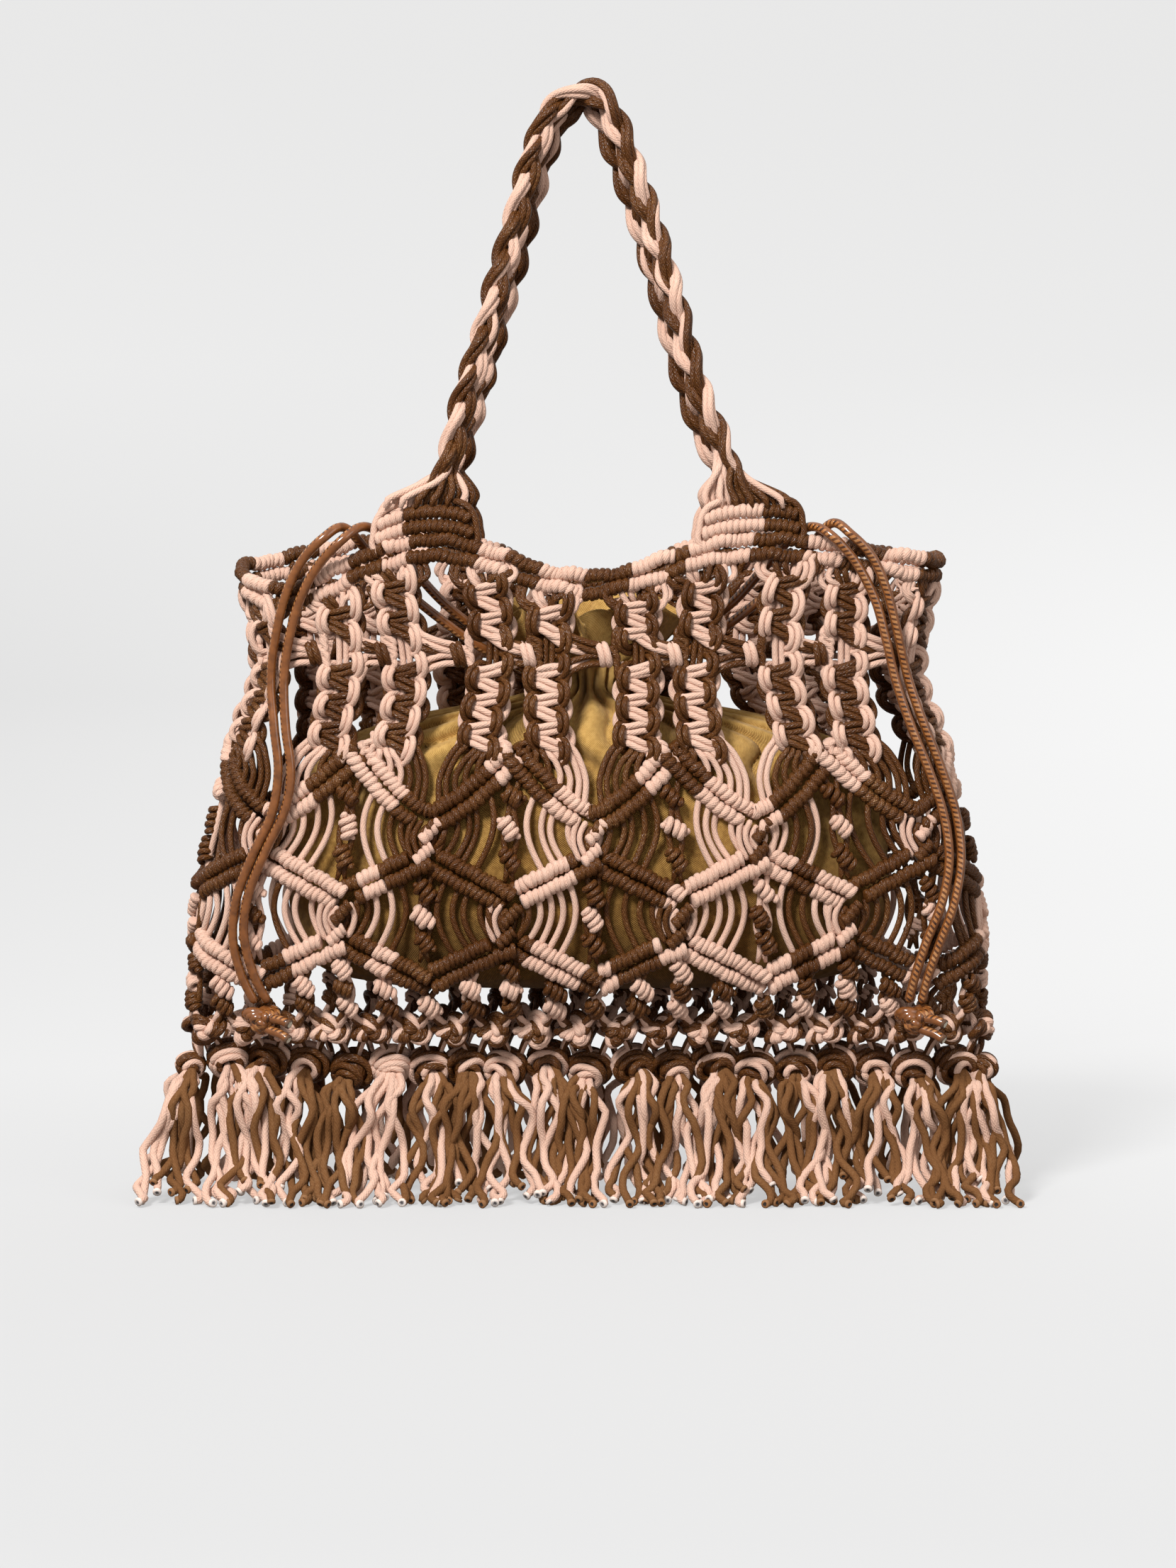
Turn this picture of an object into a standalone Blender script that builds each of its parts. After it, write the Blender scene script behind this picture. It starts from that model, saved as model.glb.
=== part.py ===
# Macrame net bag: a knotted cord tube with braided handles, a cinched canvas pouch inside,
# leather drawstrings and a tassel fringe that it stands on.
# Metres, +Z up, front towards -Y, origin under the middle of the fringe.
import math

import bmesh
import bpy
from mathutils import Vector

# Overall sizes
BAG_HEIGHT = 0.5285  # floor to the top of the front handle
MOUTH_HEIGHT = 0.306  # floor to the middle of the rim beside the handle tabs
BODY_WIDTH = 0.386  # outside, at the row of big knots
BODY_DEPTH = 0.098  # outside, where the pouch swells the net
REPEATS = 10  # pattern repeats round the body
BULGE_POWER = 1.15  # how flat-topped the front and back swell
PATTERN_SHIFT = 0.03  # share of a repeat that the pattern sits right of the middle

# Net walls
SINNET_THICK = 0.0086
RIB_THICK = 0.0074
LOWER_THICK = 0.0070
RIB_WIDTH = 0.0146  # a double rib, across its run
LINK_HEIGHT = 0.259
LINK_DEPTH = 0.012  # height of the row that ties neighbouring sinnets
FAN_HEIGHT = 0.229  # where the sinnets open into fans
PEAK_HEIGHT = 0.2135  # upper zigzag's peaks
CROSS_HEIGHT = 0.1737  # crossings of the upper and middle zigzags
CROSS_STRETCH = 0.0088  # from a crossing's middle to the ribs that turn above and below it
LOW_CROSS_HEIGHT = 0.135  # crossings of the middle and lower zigzags
LOW_CROSS_STRETCH = 0.0100
LOW_BOTTOM_HEIGHT = 0.105  # lower zigzag's bottoms
RIB_CURVE = 1.4  # how much the upper zigzag steepens towards its peaks
SMALL_KNOT_HEIGHT = 0.079
SMALL_KNOT_SIZE = 0.013
SLIT = 0.004  # an opening lower than this between two ribs closes up
SEAT = 0.0004  # gap between pieces that touch
NET_SEAT = 0.0020  # gap between two zones of the net, whose walls lean
FOOT_SEAT = 0.0018  # the same at the lower zone, which leans in fast

# Fringe
KNOT_HEIGHT = 0.0590
KNOT_SIZE = 0.0196
TASSELS = 21
TASSEL_SPACING = 0.0191
FRINGE_REACH = 0.0440  # of the tips on the floor, to the front and to the back
FRINGE_SPREAD = 0.012  # how far the end tassels lean out past their knots
TIP_THICK = 0.0065
NOTCH_LIFT = 0.004  # of the hem between two tassels

# Rim and tabs
ROPE = 0.0070
TAB_WIDTH_TOP = 0.042
TAB_WIDTH_FOOT = 0.046
TAB_HEIGHT = 0.0132
TAB_THICK = 0.0076
TAB_REACH = 0.0755  # middle of each tab from the bag's middle
TAB_ROWS = 2
TAB_STEPS = 4

# Handles
BRAID_WIDTH = 0.0148
BRAID_THICK = 0.0095
BRAID_PITCH = 0.030
BRAID_SIDES = 8
BRAID_SWELL = 0.09  # at each crossing, as a share of its width
HANDLE_FAN = 0.026  # height over which the cords close from the tab into the braid
HANDLE_SETBACK = 0.0052  # each handle's middle from the bag's middle at the top
HANDLE_STEP = 0.0110  # spacing of the braid's sections
BACK_HANDLE_DROP = 0.004
BACK_HANDLE_INSET = 0.0035

# Canvas pouch
POUCH_WIDTH = 0.281
POUCH_DEPTH = 0.0790
POUCH_FOOT = 0.1000
POUCH_HEIGHT = 0.1790  # foot to the top of the ruffle
CANVAS = 0.0016
POUCH_SIDES = 28
GATHER_FOLDS = 12
GATHER_DEPTH = 0.05  # of the folds at the shoulders, as a share of the reach
GATHER_MIDDLE = 0.70  # share of the pouch's height
GATHER_SPAN = 0.16
RUFFLE_FOOT = 0.84
RUFFLE_WAVES = 7
RUFFLE_WAVE_DEPTH = 0.0042

# Leather drawstrings
LACE = 0.0044
LACE_KNOT_WIDTH = 0.0165
LACE_KNOT_HEIGHT = 0.0135
LACE_TAIL = 0.009

# Wall of the net: share of MOUTH_HEIGHT, half width as a share of half BODY_WIDTH,
# end radius and middle swell as shares of half BODY_DEPTH
WALL_TABLE = (
    (0.190, 1.000, 0.130, 0.010),
    (0.224, 1.000, 0.140, 0.020),
    (0.262, 0.992, 0.240, 0.120),
    (0.340, 0.984, 0.420, 0.340),
    (0.460, 0.974, 0.540, 0.440),
    (0.580, 0.936, 0.580, 0.420),
    (0.720, 0.876, 0.560, 0.330),
    (0.800, 0.828, 0.540, 0.270),
    (0.850, 0.826, 0.530, 0.270),
    (0.930, 0.850, 0.520, 0.300),
    (1.000, 0.880, 0.520, 0.320),
    (1.080, 0.880, 0.520, 0.320),
)

# Rim's height round the mouth: share of a turn from the front middle, share of MOUTH_HEIGHT
RIM_TABLE = (
    (0.000, 0.951),
    (0.030, 0.964),
    (0.055, 0.984),
    (0.085, 1.004),
    (0.115, 1.009),
    (0.150, 1.003),
    (0.210, 0.980),
    (0.250, 0.972),
    (0.300, 0.978),
    (0.360, 1.000),
    (0.410, 1.000),
    (0.445, 0.978),
    (0.470, 0.948),
    (0.500, 0.932),
    (0.530, 0.948),
    (0.555, 0.978),
    (0.590, 1.000),
    (0.640, 1.000),
    (0.700, 0.975),
    (0.750, 0.955),
    (0.800, 0.932),
    (0.850, 0.978),
    (0.885, 1.004),
    (0.915, 1.005),
    (0.945, 0.984),
    (0.970, 0.964),
    (1.000, 0.951),
)

# Pouch sections: share of POUCH_HEIGHT, then shares of half POUCH_WIDTH and half POUCH_DEPTH
POUCH_TABLE = (
    (0.000, 0.640, 0.340),
    (0.030, 0.840, 0.600),
    (0.090, 0.960, 0.780),
    (0.220, 1.000, 1.000),
    (0.400, 0.985, 1.000),
    (0.540, 0.930, 0.960),
    (0.650, 0.800, 0.840),
    (0.715, 0.560, 0.620),
    (0.780, 0.120, 0.300),
    (0.830, 0.115, 0.310),
    (0.900, 0.210, 0.500),
    (1.000, 0.320, 0.720),
)

# Front handle's middle line up from each tab: share of the handle's height, share of TAB_REACH
LEFT_LEG = ((0.000, 0.985), (0.060, 0.880), (0.230, 0.775), (0.390, 0.655), (0.545, 0.545),
            (0.680, 0.450), (0.810, 0.365), (0.905, 0.285), (0.970, 0.190))
RIGHT_LEG = ((0.000, 0.985), (0.060, 0.890), (0.155, 0.800), (0.240, 0.710), (0.360, 0.615),
             (0.490, 0.530), (0.610, 0.445), (0.730, 0.350), (0.855, 0.240), (0.960, 0.130))

# Routes of the four drawstring strands, neck of the pouch to the knot, chosen by hand
LACE_ROUTES = {
    "lace_left_outer": (
        (-0.0190, -0.0065, 0.2450), (-0.0330, -0.0085, 0.2520), (-0.0520, -0.0115, 0.2620),
        (-0.0700, -0.0140, 0.2750), (-0.0880, -0.0155, 0.2900), (-0.1020, -0.0185, 0.3050),
        (-0.1130, -0.0275, 0.3175), (-0.1225, -0.0345, 0.3130), (-0.1330, -0.0325, 0.3018),
        (-0.1406, -0.0308, 0.2858), (-0.1455, -0.0285, 0.2656), (-0.1476, -0.0272, 0.2468),
        (-0.1460, -0.0318, 0.2248), (-0.1441, -0.0333, 0.2044), (-0.1474, -0.0339, 0.1843),
        (-0.1565, -0.0333, 0.1649), (-0.1641, -0.0318, 0.1447), (-0.1660, -0.0300, 0.1252),
        (-0.1621, -0.0285, 0.1080), (-0.1560, -0.0265, 0.0950),
    ),
    "lace_left_inner": (
        (-0.0222, 0.0015, 0.2500), (-0.0345, 0.0000, 0.2585), (-0.0520, -0.0050, 0.2690),
        (-0.0690, -0.0090, 0.2830), (-0.0840, -0.0130, 0.3000), (-0.0955, -0.0180, 0.3130),
        (-0.1045, -0.0275, 0.3180), (-0.1140, -0.0355, 0.3120), (-0.1261, -0.0330, 0.2987),
        (-0.1346, -0.0314, 0.2819), (-0.1395, -0.0305, 0.2629), (-0.1415, -0.0303, 0.2457),
        (-0.1406, -0.0326, 0.2244), (-0.1382, -0.0340, 0.2045), (-0.1411, -0.0346, 0.1863),
        (-0.1503, -0.0338, 0.1670), (-0.1585, -0.0326, 0.1465), (-0.1608, -0.0308, 0.1273),
        (-0.1565, -0.0293, 0.1088), (-0.1502, -0.0265, 0.0954),
    ),
    "lace_right_outer": (
        (0.0190, -0.0065, 0.2450), (0.0330, -0.0085, 0.2520), (0.0520, -0.0115, 0.2620),
        (0.0700, -0.0140, 0.2750), (0.0880, -0.0155, 0.2900), (0.1020, -0.0185, 0.3060),
        (0.1130, -0.0275, 0.3195), (0.1220, -0.0350, 0.3145), (0.1320, -0.0330, 0.3038),
        (0.1389, -0.0310, 0.2879), (0.1440, -0.0292, 0.2686), (0.1490, -0.0262, 0.2478),
        (0.1560, -0.0268, 0.2277), (0.1650, -0.0255, 0.2053), (0.1720, -0.0244, 0.1842),
        (0.1744, -0.0264, 0.1628), (0.1710, -0.0298, 0.1419), (0.1640, -0.0298, 0.1221),
        (0.1592, -0.0285, 0.1075), (0.1562, -0.0265, 0.0950),
    ),
    "lace_right_inner": (
        (0.0222, 0.0015, 0.2500), (0.0345, 0.0000, 0.2585), (0.0520, -0.0050, 0.2690),
        (0.0690, -0.0090, 0.2830), (0.0840, -0.0130, 0.3000), (0.0955, -0.0180, 0.3130),
        (0.1045, -0.0275, 0.3180), (0.1140, -0.0355, 0.3130), (0.1247, -0.0332, 0.3007),
        (0.1334, -0.0314, 0.2839), (0.1385, -0.0307, 0.2659), (0.1434, -0.0295, 0.2458),
        (0.1505, -0.0303, 0.2251), (0.1592, -0.0295, 0.2040), (0.1662, -0.0290, 0.1829),
        (0.1686, -0.0300, 0.1625), (0.1652, -0.0316, 0.1427), (0.1582, -0.0306, 0.1242),
        (0.1530, -0.0295, 0.1077), (0.1502, -0.0265, 0.0954),
    ),
}
LACE_KNOTS = {
    "lace_knot_left": (-0.1530, -0.0265, 0.0876),
    "lace_knot_right": (0.1532, -0.0265, 0.0876),
}


def clear_scene():
    for item in list(bpy.data.objects):
        bpy.data.objects.remove(item, do_unlink=True)


def make_material(name, colour, roughness):
    material = bpy.data.materials.new(name)
    material.use_nodes = True
    shader = material.node_tree.nodes["Principled BSDF"]
    shader.inputs["Base Color"].default_value = (*colour, 1.0)
    shader.inputs["Roughness"].default_value = roughness
    shader.inputs["Metallic"].default_value = 0.0
    return material


def smooth_row(table, share):
    """One row of a table at a share of its first column, on a smooth curve through the rows."""
    keys = [row[0] for row in table]
    share = min(max(share, keys[0]), keys[-1])
    place = 0
    while place < len(keys) - 2 and share > keys[place + 1]:
        place += 1
    low, high = keys[place], keys[place + 1]
    step = (share - low) / (high - low)
    values = []
    for column in range(1, len(table[0])):
        start, end = table[place][column], table[place + 1][column]
        before = table[max(place - 1, 0)]
        after = table[min(place + 2, len(table) - 1)]
        slope_start = (end - before[column]) / (high - before[0]) * (high - low)
        slope_end = (after[column] - start) / (after[0] - low) * (high - low)
        values.append(
            (2 * step ** 3 - 3 * step ** 2 + 1) * start
            + (step ** 3 - 2 * step ** 2 + step) * slope_start
            + (3 * step ** 2 - 2 * step ** 3) * end
            + (step ** 3 - step ** 2) * slope_end
        )
    return values


def wall_point(turn, height, thick):
    """Middle of the net's wall, a share of a turn right round from the front middle."""
    half_width, end_radius, bulge = smooth_row(WALL_TABLE, height / MOUTH_HEIGHT)
    half_width = half_width * BODY_WIDTH / 2 - thick / 2
    depth_scale = (BODY_DEPTH - thick) / 2
    end_radius *= depth_scale
    bulge *= depth_scale
    flat = half_width - end_radius
    quarter = flat + math.pi / 2 * end_radius
    turn = turn % 1.0
    run = abs((turn + 0.25) % 0.5 - 0.25) * 4 * quarter
    if run < flat:
        across = run
        deep = end_radius + bulge * math.cos(math.pi / 2 * run / flat) ** BULGE_POWER
    else:
        angle = (run - flat) / end_radius
        across = flat + end_radius * math.sin(angle)
        deep = end_radius * math.cos(angle)
    side_x = 1 if turn < 0.5 else -1
    side_y = -1 if (turn < 0.25 or turn > 0.75) else 1
    return Vector((side_x * across, side_y * deep, height))


def rim_height(turn):
    return smooth_row(RIM_TABLE, turn % 1.0)[0] * MOUTH_HEIGHT


def rib_band(at_start, at_middle, rise):
    """Upper and lower edge of a double rib that runs between two heights, a share of its way up."""
    slope = math.atan2(at_middle - at_start, BODY_WIDTH / REPEATS)
    half = RIB_WIDTH / 2 / math.cos(slope)
    middle = at_start + (at_middle - at_start) * rise
    return [middle + half, middle - half]


def rib_edges(share):
    """Heights of the six edges of the three double ribs, top to bottom, closed up at crossings."""
    rise = 1 - abs(1 - 2 * (share % 1.0))
    edges = rib_band(CROSS_HEIGHT + CROSS_STRETCH, PEAK_HEIGHT, rise ** RIB_CURVE)
    edges += rib_band(CROSS_HEIGHT - CROSS_STRETCH, LOW_CROSS_HEIGHT + LOW_CROSS_STRETCH, rise)
    edges += rib_band(LOW_BOTTOM_HEIGHT, LOW_CROSS_HEIGHT - LOW_CROSS_STRETCH, rise)
    for first in (1, 3):
        if edges[first] - edges[first + 1] < SLIT:
            edges[first] = edges[first + 1] = (edges[first] + edges[first + 1]) / 2
    return edges


def diamond_lines(share, turn):
    """Heights of the rows of the rib zone: the rib edges, with a row halfway down each window."""
    first, second, third, fourth, fifth, sixth = rib_edges(share)
    return first, second, (second + third) / 2, third, fourth, (fourth + fifth) / 2, fifth, sixth


def grid_wall(name, splits, lines, is_solid, thick, material):
    """The net's wall as an open surface with holes, walled by Solidify.

    Columns stand at the splits of each repeat, rows follow the height lines."""
    mesh_builder = bmesh.new()
    columns = [(repeat, share) for repeat in range(REPEATS) for share in splits]
    grid = []
    for repeat, share in columns:
        turn = (repeat + share + PATTERN_SHIFT) / REPEATS
        grid.append([mesh_builder.verts.new(wall_point(turn, height, thick))
                     for height in lines(share, turn)])
    rows = len(grid[0]) - 1
    for column in range(len(grid)):
        here = grid[column]
        there = grid[(column + 1) % len(grid)]
        for row in range(rows):
            if is_solid(row, column % len(splits)):
                mesh_builder.faces.new((here[row], here[row + 1], there[row + 1], there[row]))
    bmesh.ops.remove_doubles(mesh_builder, verts=mesh_builder.verts, dist=0.00005)
    loose = [vert for vert in mesh_builder.verts if not vert.link_faces]
    bmesh.ops.delete(mesh_builder, geom=loose, context="VERTS")
    wall = finish_mesh(name, mesh_builder, material)
    solid = wall.modifiers.new("wall", "SOLIDIFY")
    solid.thickness = thick
    solid.offset = 0.0
    solid.use_even_offset = False
    return wall


def finish_mesh(name, mesh_builder, material):
    mesh = bpy.data.meshes.new(name)
    mesh_builder.to_mesh(mesh)
    mesh_builder.free()
    mesh.materials.append(material)
    item = bpy.data.objects.new(name, mesh)
    parts.objects.link(item)
    return item


def loft(name, rings, material, closed_path):
    """Skin over rings of points, capped at both ends unless the path closes."""
    mesh_builder = bmesh.new()
    made = [[mesh_builder.verts.new(point) for point in ring] for ring in rings]
    count = len(made)
    for place in range(count if closed_path else count - 1):
        here, there = made[place], made[(place + 1) % count]
        for corner in range(len(here)):
            after = (corner + 1) % len(here)
            mesh_builder.faces.new((here[corner], here[after], there[after], there[corner]))
    if not closed_path:
        mesh_builder.faces.new(list(reversed(made[0])))
        mesh_builder.faces.new(made[-1])
    bmesh.ops.recalc_face_normals(mesh_builder, faces=mesh_builder.faces)
    bmesh.ops.triangulate(mesh_builder, faces=mesh_builder.faces)
    return finish_mesh(name, mesh_builder, material)


def make_net(sinnet_material, rib_material):
    splits = (0.0, 0.08, 0.18, 0.42, 0.5, 0.58, 0.82, 0.92)

    def upper_lines(share, turn):
        top = rim_height(turn) - ROPE - NET_SEAT
        link_top = LINK_HEIGHT + LINK_DEPTH / 2
        foot = rib_edges(share)[0] + NET_SEAT
        fan = max(FAN_HEIGHT, foot + SEAT)
        return top, link_top, LINK_HEIGHT - LINK_DEPTH / 2, fan, foot

    def upper_solid(row, column):
        sinnet = column in (2, 5)
        fan = column in (1, 6)
        return row == 1 or sinnet or (row == 3 and fan)

    def diamond_solid(row, column):
        if row in (1, 2):
            return column not in (2, 5)
        if row in (4, 5):
            return column not in (1, 2, 5, 6)
        return True

    grid_wall("net_upper", splits, upper_lines, upper_solid, SINNET_THICK, sinnet_material)
    grid_wall("net_diamonds", splits, diamond_lines, diamond_solid, RIB_THICK, rib_material)

    low_splits = (0.0, 0.06, 0.19, 0.31, 0.44, 0.5, 0.56, 0.69, 0.81, 0.94)
    foot = KNOT_HEIGHT + KNOT_SIZE / 2 * 0.92 + SEAT

    def lower_lines(share, turn):
        top = rib_edges(share)[5] - FOOT_SEAT
        band_top = SMALL_KNOT_HEIGHT + SMALL_KNOT_SIZE / 2
        return top, min(band_top, top - SEAT), foot

    def lower_solid(row, column):
        return row == 1 or column in (1, 3, 6, 8)

    grid_wall("net_lower", low_splits, lower_lines, lower_solid, LOWER_THICK, sinnet_material)


def make_rim(material):
    """Two ropes, one on the other, closed round the mouth."""
    profile = ((0.30, 2.00), (1.00, 1.30), (0.62, 0.00), (1.00, -1.30), (0.30, -2.00),
               (-0.30, -2.00), (-1.00, -1.30), (-0.62, 0.00), (-1.00, 1.30), (-0.30, 2.00))
    stations = REPEATS * 4
    rings = []
    for station in range(stations):
        turn = station / stations
        middle = wall_point(turn, rim_height(turn), ROPE)
        ahead = wall_point(turn + 0.5 / stations, rim_height(turn + 0.5 / stations), ROPE)
        behind = wall_point(turn - 0.5 / stations, rim_height(turn - 0.5 / stations), ROPE)
        along = (ahead - behind).normalized()
        outward = along.cross(Vector((0, 0, 1))).normalized()
        rings.append([middle + outward * (side * ROPE / 2) + Vector((0, 0, rise * ROPE / 2))
                      for side, rise in profile])
    loft("rim", rings, material, True)


def make_tabs(materials):
    """Two ridged rows of rope on the rim under each handle end."""
    for side_name, side_x in (("left", -1), ("right", 1)):
        for face_name, side_y in (("front", -1), ("back", 1)):
            rings = []
            for step in range(TAB_STEPS + 1):
                rings.append(tab_ring(side_x, side_y, step / TAB_STEPS - 0.5))
            loft("tab_%s_%s" % (face_name, side_name), rings, materials[side_name], False)


def tab_ring(side_x, side_y, share):
    """Upright section of a tab, a share of its width from its middle."""
    row = TAB_HEIGHT / TAB_ROWS
    outline = [(0.30, 0.0)]
    for place in range(TAB_ROWS):
        outline.append((1.0, (place + 0.5) * row))
        outline.append((0.62 if place < TAB_ROWS - 1 else 0.30, (place + 1) * row))
    section = outline + [(-thick, rise) for thick, rise in reversed(outline)]
    ring = []
    for thick, rise in section:
        width = TAB_WIDTH_FOOT + (TAB_WIDTH_TOP - TAB_WIDTH_FOOT) * rise / TAB_HEIGHT
        across = side_x * TAB_REACH + share * width
        turn = turn_at(across, side_y)
        foot = rim_height(turn) + ROPE + SEAT
        wall = wall_point(turn, MOUTH_HEIGHT, ROPE)
        ring.append(Vector((across, wall.y + thick * TAB_THICK / 2, foot + rise)))
    return ring


def turn_at(across, side_y):
    """Share of a turn where the mouth's wall stands at a distance across, on its flat stretch."""
    half_width, end_radius, _ = smooth_row(WALL_TABLE, 1.0)
    half_width = half_width * BODY_WIDTH / 2 - ROPE / 2
    end_radius *= (BODY_DEPTH - ROPE) / 2
    quarter = half_width - end_radius + math.pi / 2 * end_radius
    share = across / quarter / 4
    return share % 1.0 if side_y < 0 else (0.5 - share) % 1.0


def handle_line(side_y):
    """Middle line of a handle from its left tab over the top to its right tab."""
    turn = turn_at(TAB_REACH, side_y)
    foot = rim_height(turn) + ROPE + TAB_HEIGHT + 2 * SEAT
    drop = BACK_HANDLE_DROP if side_y > 0 else 0.0
    inset = BACK_HANDLE_INSET if side_y > 0 else 0.0
    top = BAG_HEIGHT - BRAID_WIDTH / 2 - drop
    start_y = wall_point(turn, MOUTH_HEIGHT, ROPE).y
    points = []
    for side_x, leg in ((-1, LEFT_LEG), (1, tuple(reversed(RIGHT_LEG)))):
        for rise, reach in leg:
            lean = start_y + (side_y * HANDLE_SETBACK - start_y) * min(1.0, rise * 1.15)
            across = side_x * (reach * TAB_REACH - inset * min(1.0, rise / 0.1))
            points.append(Vector((across, lean, foot + rise * (top - foot))))
        if side_x < 0:
            points.append(Vector((0.0, side_y * HANDLE_SETBACK, top)))
    return points


def smooth_path(points, spacing):
    """Points at even spacing on a Catmull-Rom curve through the given points."""
    dense = [points[0]]
    for place in range(len(points) - 1):
        before = points[max(place - 1, 0)]
        start, end = points[place], points[place + 1]
        after = points[min(place + 2, len(points) - 1)]
        for step in range(1, 13):
            t = step / 12
            bend = 2 * before - 5 * start + 4 * end - after
            twist = 3 * start - before - 3 * end + after
            dense.append(0.5 * (2 * start + (end - before) * t + bend * t ** 2 + twist * t ** 3))
    lengths = [0.0]
    for place in range(1, len(dense)):
        lengths.append(lengths[-1] + (dense[place] - dense[place - 1]).length)
    count = max(2, round(lengths[-1] / spacing))
    even = []
    place = 0
    for number in range(count + 1):
        target = lengths[-1] * number / count
        while place < len(dense) - 2 and lengths[place + 1] < target:
            place += 1
        span = lengths[place + 1] - lengths[place]
        even.append(dense[place].lerp(dense[place + 1], (target - lengths[place]) / span))
    return even


def make_handle(name, side_y, material):
    """A braid of flat oval section that swells at each crossing and fans out on its tabs."""
    path = smooth_path(handle_line(side_y), HANDLE_STEP)
    foot = path[0].z
    rings = []
    travelled = 0.0
    for place, middle in enumerate(path):
        ahead = path[min(place + 1, len(path) - 1)]
        behind = path[max(place - 1, 0)]
        along = (ahead - behind).normalized()
        if place in (0, len(path) - 1):
            along = Vector((0, 0, 1 if place == 0 else -1))
        across = Vector((0, 1, 0)).cross(along).normalized()
        thick_way = along.cross(across).normalized()
        travelled += (middle - behind).length
        close = min(1.0, (middle.z - foot) / HANDLE_FAN)
        open_share = (1 - close) ** 1.6
        swell = 1 + BRAID_SWELL * math.cos(2 * math.pi * travelled / BRAID_PITCH) * close
        width = BRAID_WIDTH * swell * (1 - open_share) + TAB_WIDTH_TOP * open_share
        thick = BRAID_THICK * (2 - swell) * (1 - open_share) + TAB_THICK * 0.6 * open_share
        ring = []
        for corner in range(BRAID_SIDES):
            angle = 2 * math.pi * (corner + 0.5) / BRAID_SIDES
            ring.append(middle + across * (math.cos(angle) * width / 2)
                        + thick_way * (math.sin(angle) * thick / 2))
        rings.append(ring)
    loft(name, rings, material, False)


def make_pouch(material):
    """Gathered canvas pouch: a lofted shell with a closed foot, a cinched neck and a waved ruffle."""
    rings = []
    for height, wide, deep in POUCH_TABLE:
        ring = []
        ruffle = max(0.0, (height - RUFFLE_FOOT) / (1 - RUFFLE_FOOT))
        gather = GATHER_DEPTH * max(0.0, 1 - abs(height - GATHER_MIDDLE) / GATHER_SPAN)
        for step in range(POUCH_SIDES):
            angle = 2 * math.pi * step / POUCH_SIDES
            fold = 1.0 + gather * math.cos(angle * GATHER_FOLDS + 1.0)
            wave = RUFFLE_WAVE_DEPTH * math.cos(angle * RUFFLE_WAVES) * ruffle
            reach_x = (wide * POUCH_WIDTH / 2 - CANVAS / 2) * fold + wave
            reach_y = (deep * POUCH_DEPTH / 2 - CANVAS / 2) * fold + wave
            rise = POUCH_FOOT + CANVAS / 2 + height * (POUCH_HEIGHT - CANVAS)
            ring.append(Vector((reach_x * math.sin(angle), -reach_y * math.cos(angle), rise)))
        rings.append(ring)
    mesh_builder = bmesh.new()
    made = [[mesh_builder.verts.new(point) for point in ring] for ring in rings]
    for place in range(len(made) - 1):
        for step in range(POUCH_SIDES):
            after = (step + 1) % POUCH_SIDES
            mesh_builder.faces.new((made[place][step], made[place][after],
                                    made[place + 1][after], made[place + 1][step]))
    foot = mesh_builder.faces.new(list(reversed(made[0])))
    bmesh.ops.triangulate(mesh_builder, faces=[foot])
    pouch = finish_mesh("canvas_pouch", mesh_builder, material)
    solid = pouch.modifiers.new("wall", "SOLIDIFY")
    solid.thickness = CANVAS
    solid.offset = 0.0
    solid.use_even_offset = False


def make_fringe(material):
    """A row of big knots with locks that fall from it and splay on the floor, one body."""
    stations = ((-0.5, 0.60, 0.0), (-0.22, 1.0, 1.0), (0.22, 1.0, 0.8))
    rings = []
    for tassel in range(TASSELS):
        small_end = 0.8 if tassel in (0, TASSELS - 1) else 1.0
        for offset, plump, lock in stations:
            rings.append(fringe_ring(tassel + offset, plump * small_end, lock))
    rings.append(fringe_ring(TASSELS - 0.5, 0.5, 0.0))
    loft("fringe", rings, material, False)


def fringe_ring(place, plump, lock):
    """Section across the fringe at one place along the row: knot above, splayed locks below.

    Lock runs from 0, the notch between two tassels, to 1, the middle of a lock."""
    middle = (TASSELS - 1) / 2
    across = (place - middle) * TASSEL_SPACING
    lean = FRINGE_SPREAD * (place / middle - 1) ** 3
    tip_lift = NOTCH_LIFT * (1 - lock) if lock < 0.5 else 0.0
    front = FRINGE_REACH * (0.80 + 0.20 * lock - 0.025 * (1 + math.sin(2.4 * place)))
    back = FRINGE_REACH * (0.80 + 0.20 * lock - 0.025 * (1 + math.sin(3.1 * place + 1.5)))
    size = KNOT_SIZE / 2
    knot = size * plump
    waist = size * (0.44 + 0.20 * lock)
    waist_height = KNOT_HEIGHT - 1.05 * size
    bend = waist_height * (0.42 + 0.10 * lock)
    section = (
        (-0.72 * knot, KNOT_HEIGHT + 0.92 * knot, 0.0),
        (-knot, KNOT_HEIGHT, 0.0),
        (-waist, waist_height, 0.1),
        (-0.52 * front, bend, 0.6),
        (-front, TIP_THICK, 1.0),
        (-front, tip_lift, 1.0),
        (0.0, tip_lift, 0.9),
        (back, tip_lift, 1.0),
        (back, TIP_THICK, 1.0),
        (0.52 * back, bend, 0.6),
        (waist, waist_height, 0.1),
        (knot, KNOT_HEIGHT, 0.0),
        (0.72 * knot, KNOT_HEIGHT + 0.92 * knot, 0.0),
    )
    return [Vector((across + lean * drift, y, z)) for y, z, drift in section]


def make_lace(name, route, material):
    curve = bpy.data.curves.new(name, "CURVE")
    curve.dimensions = "3D"
    curve.bevel_depth = LACE / 2
    curve.bevel_resolution = 2
    curve.use_fill_caps = True
    points = smooth_path([Vector(point) for point in route], LACE * 3)
    spline = curve.splines.new("POLY")
    spline.points.add(len(points) - 1)
    for spline_point, point in zip(spline.points, points):
        spline_point.co = (*point, 1.0)
    curve.materials.append(material)
    parts.objects.link(bpy.data.objects.new(name, curve))


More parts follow.
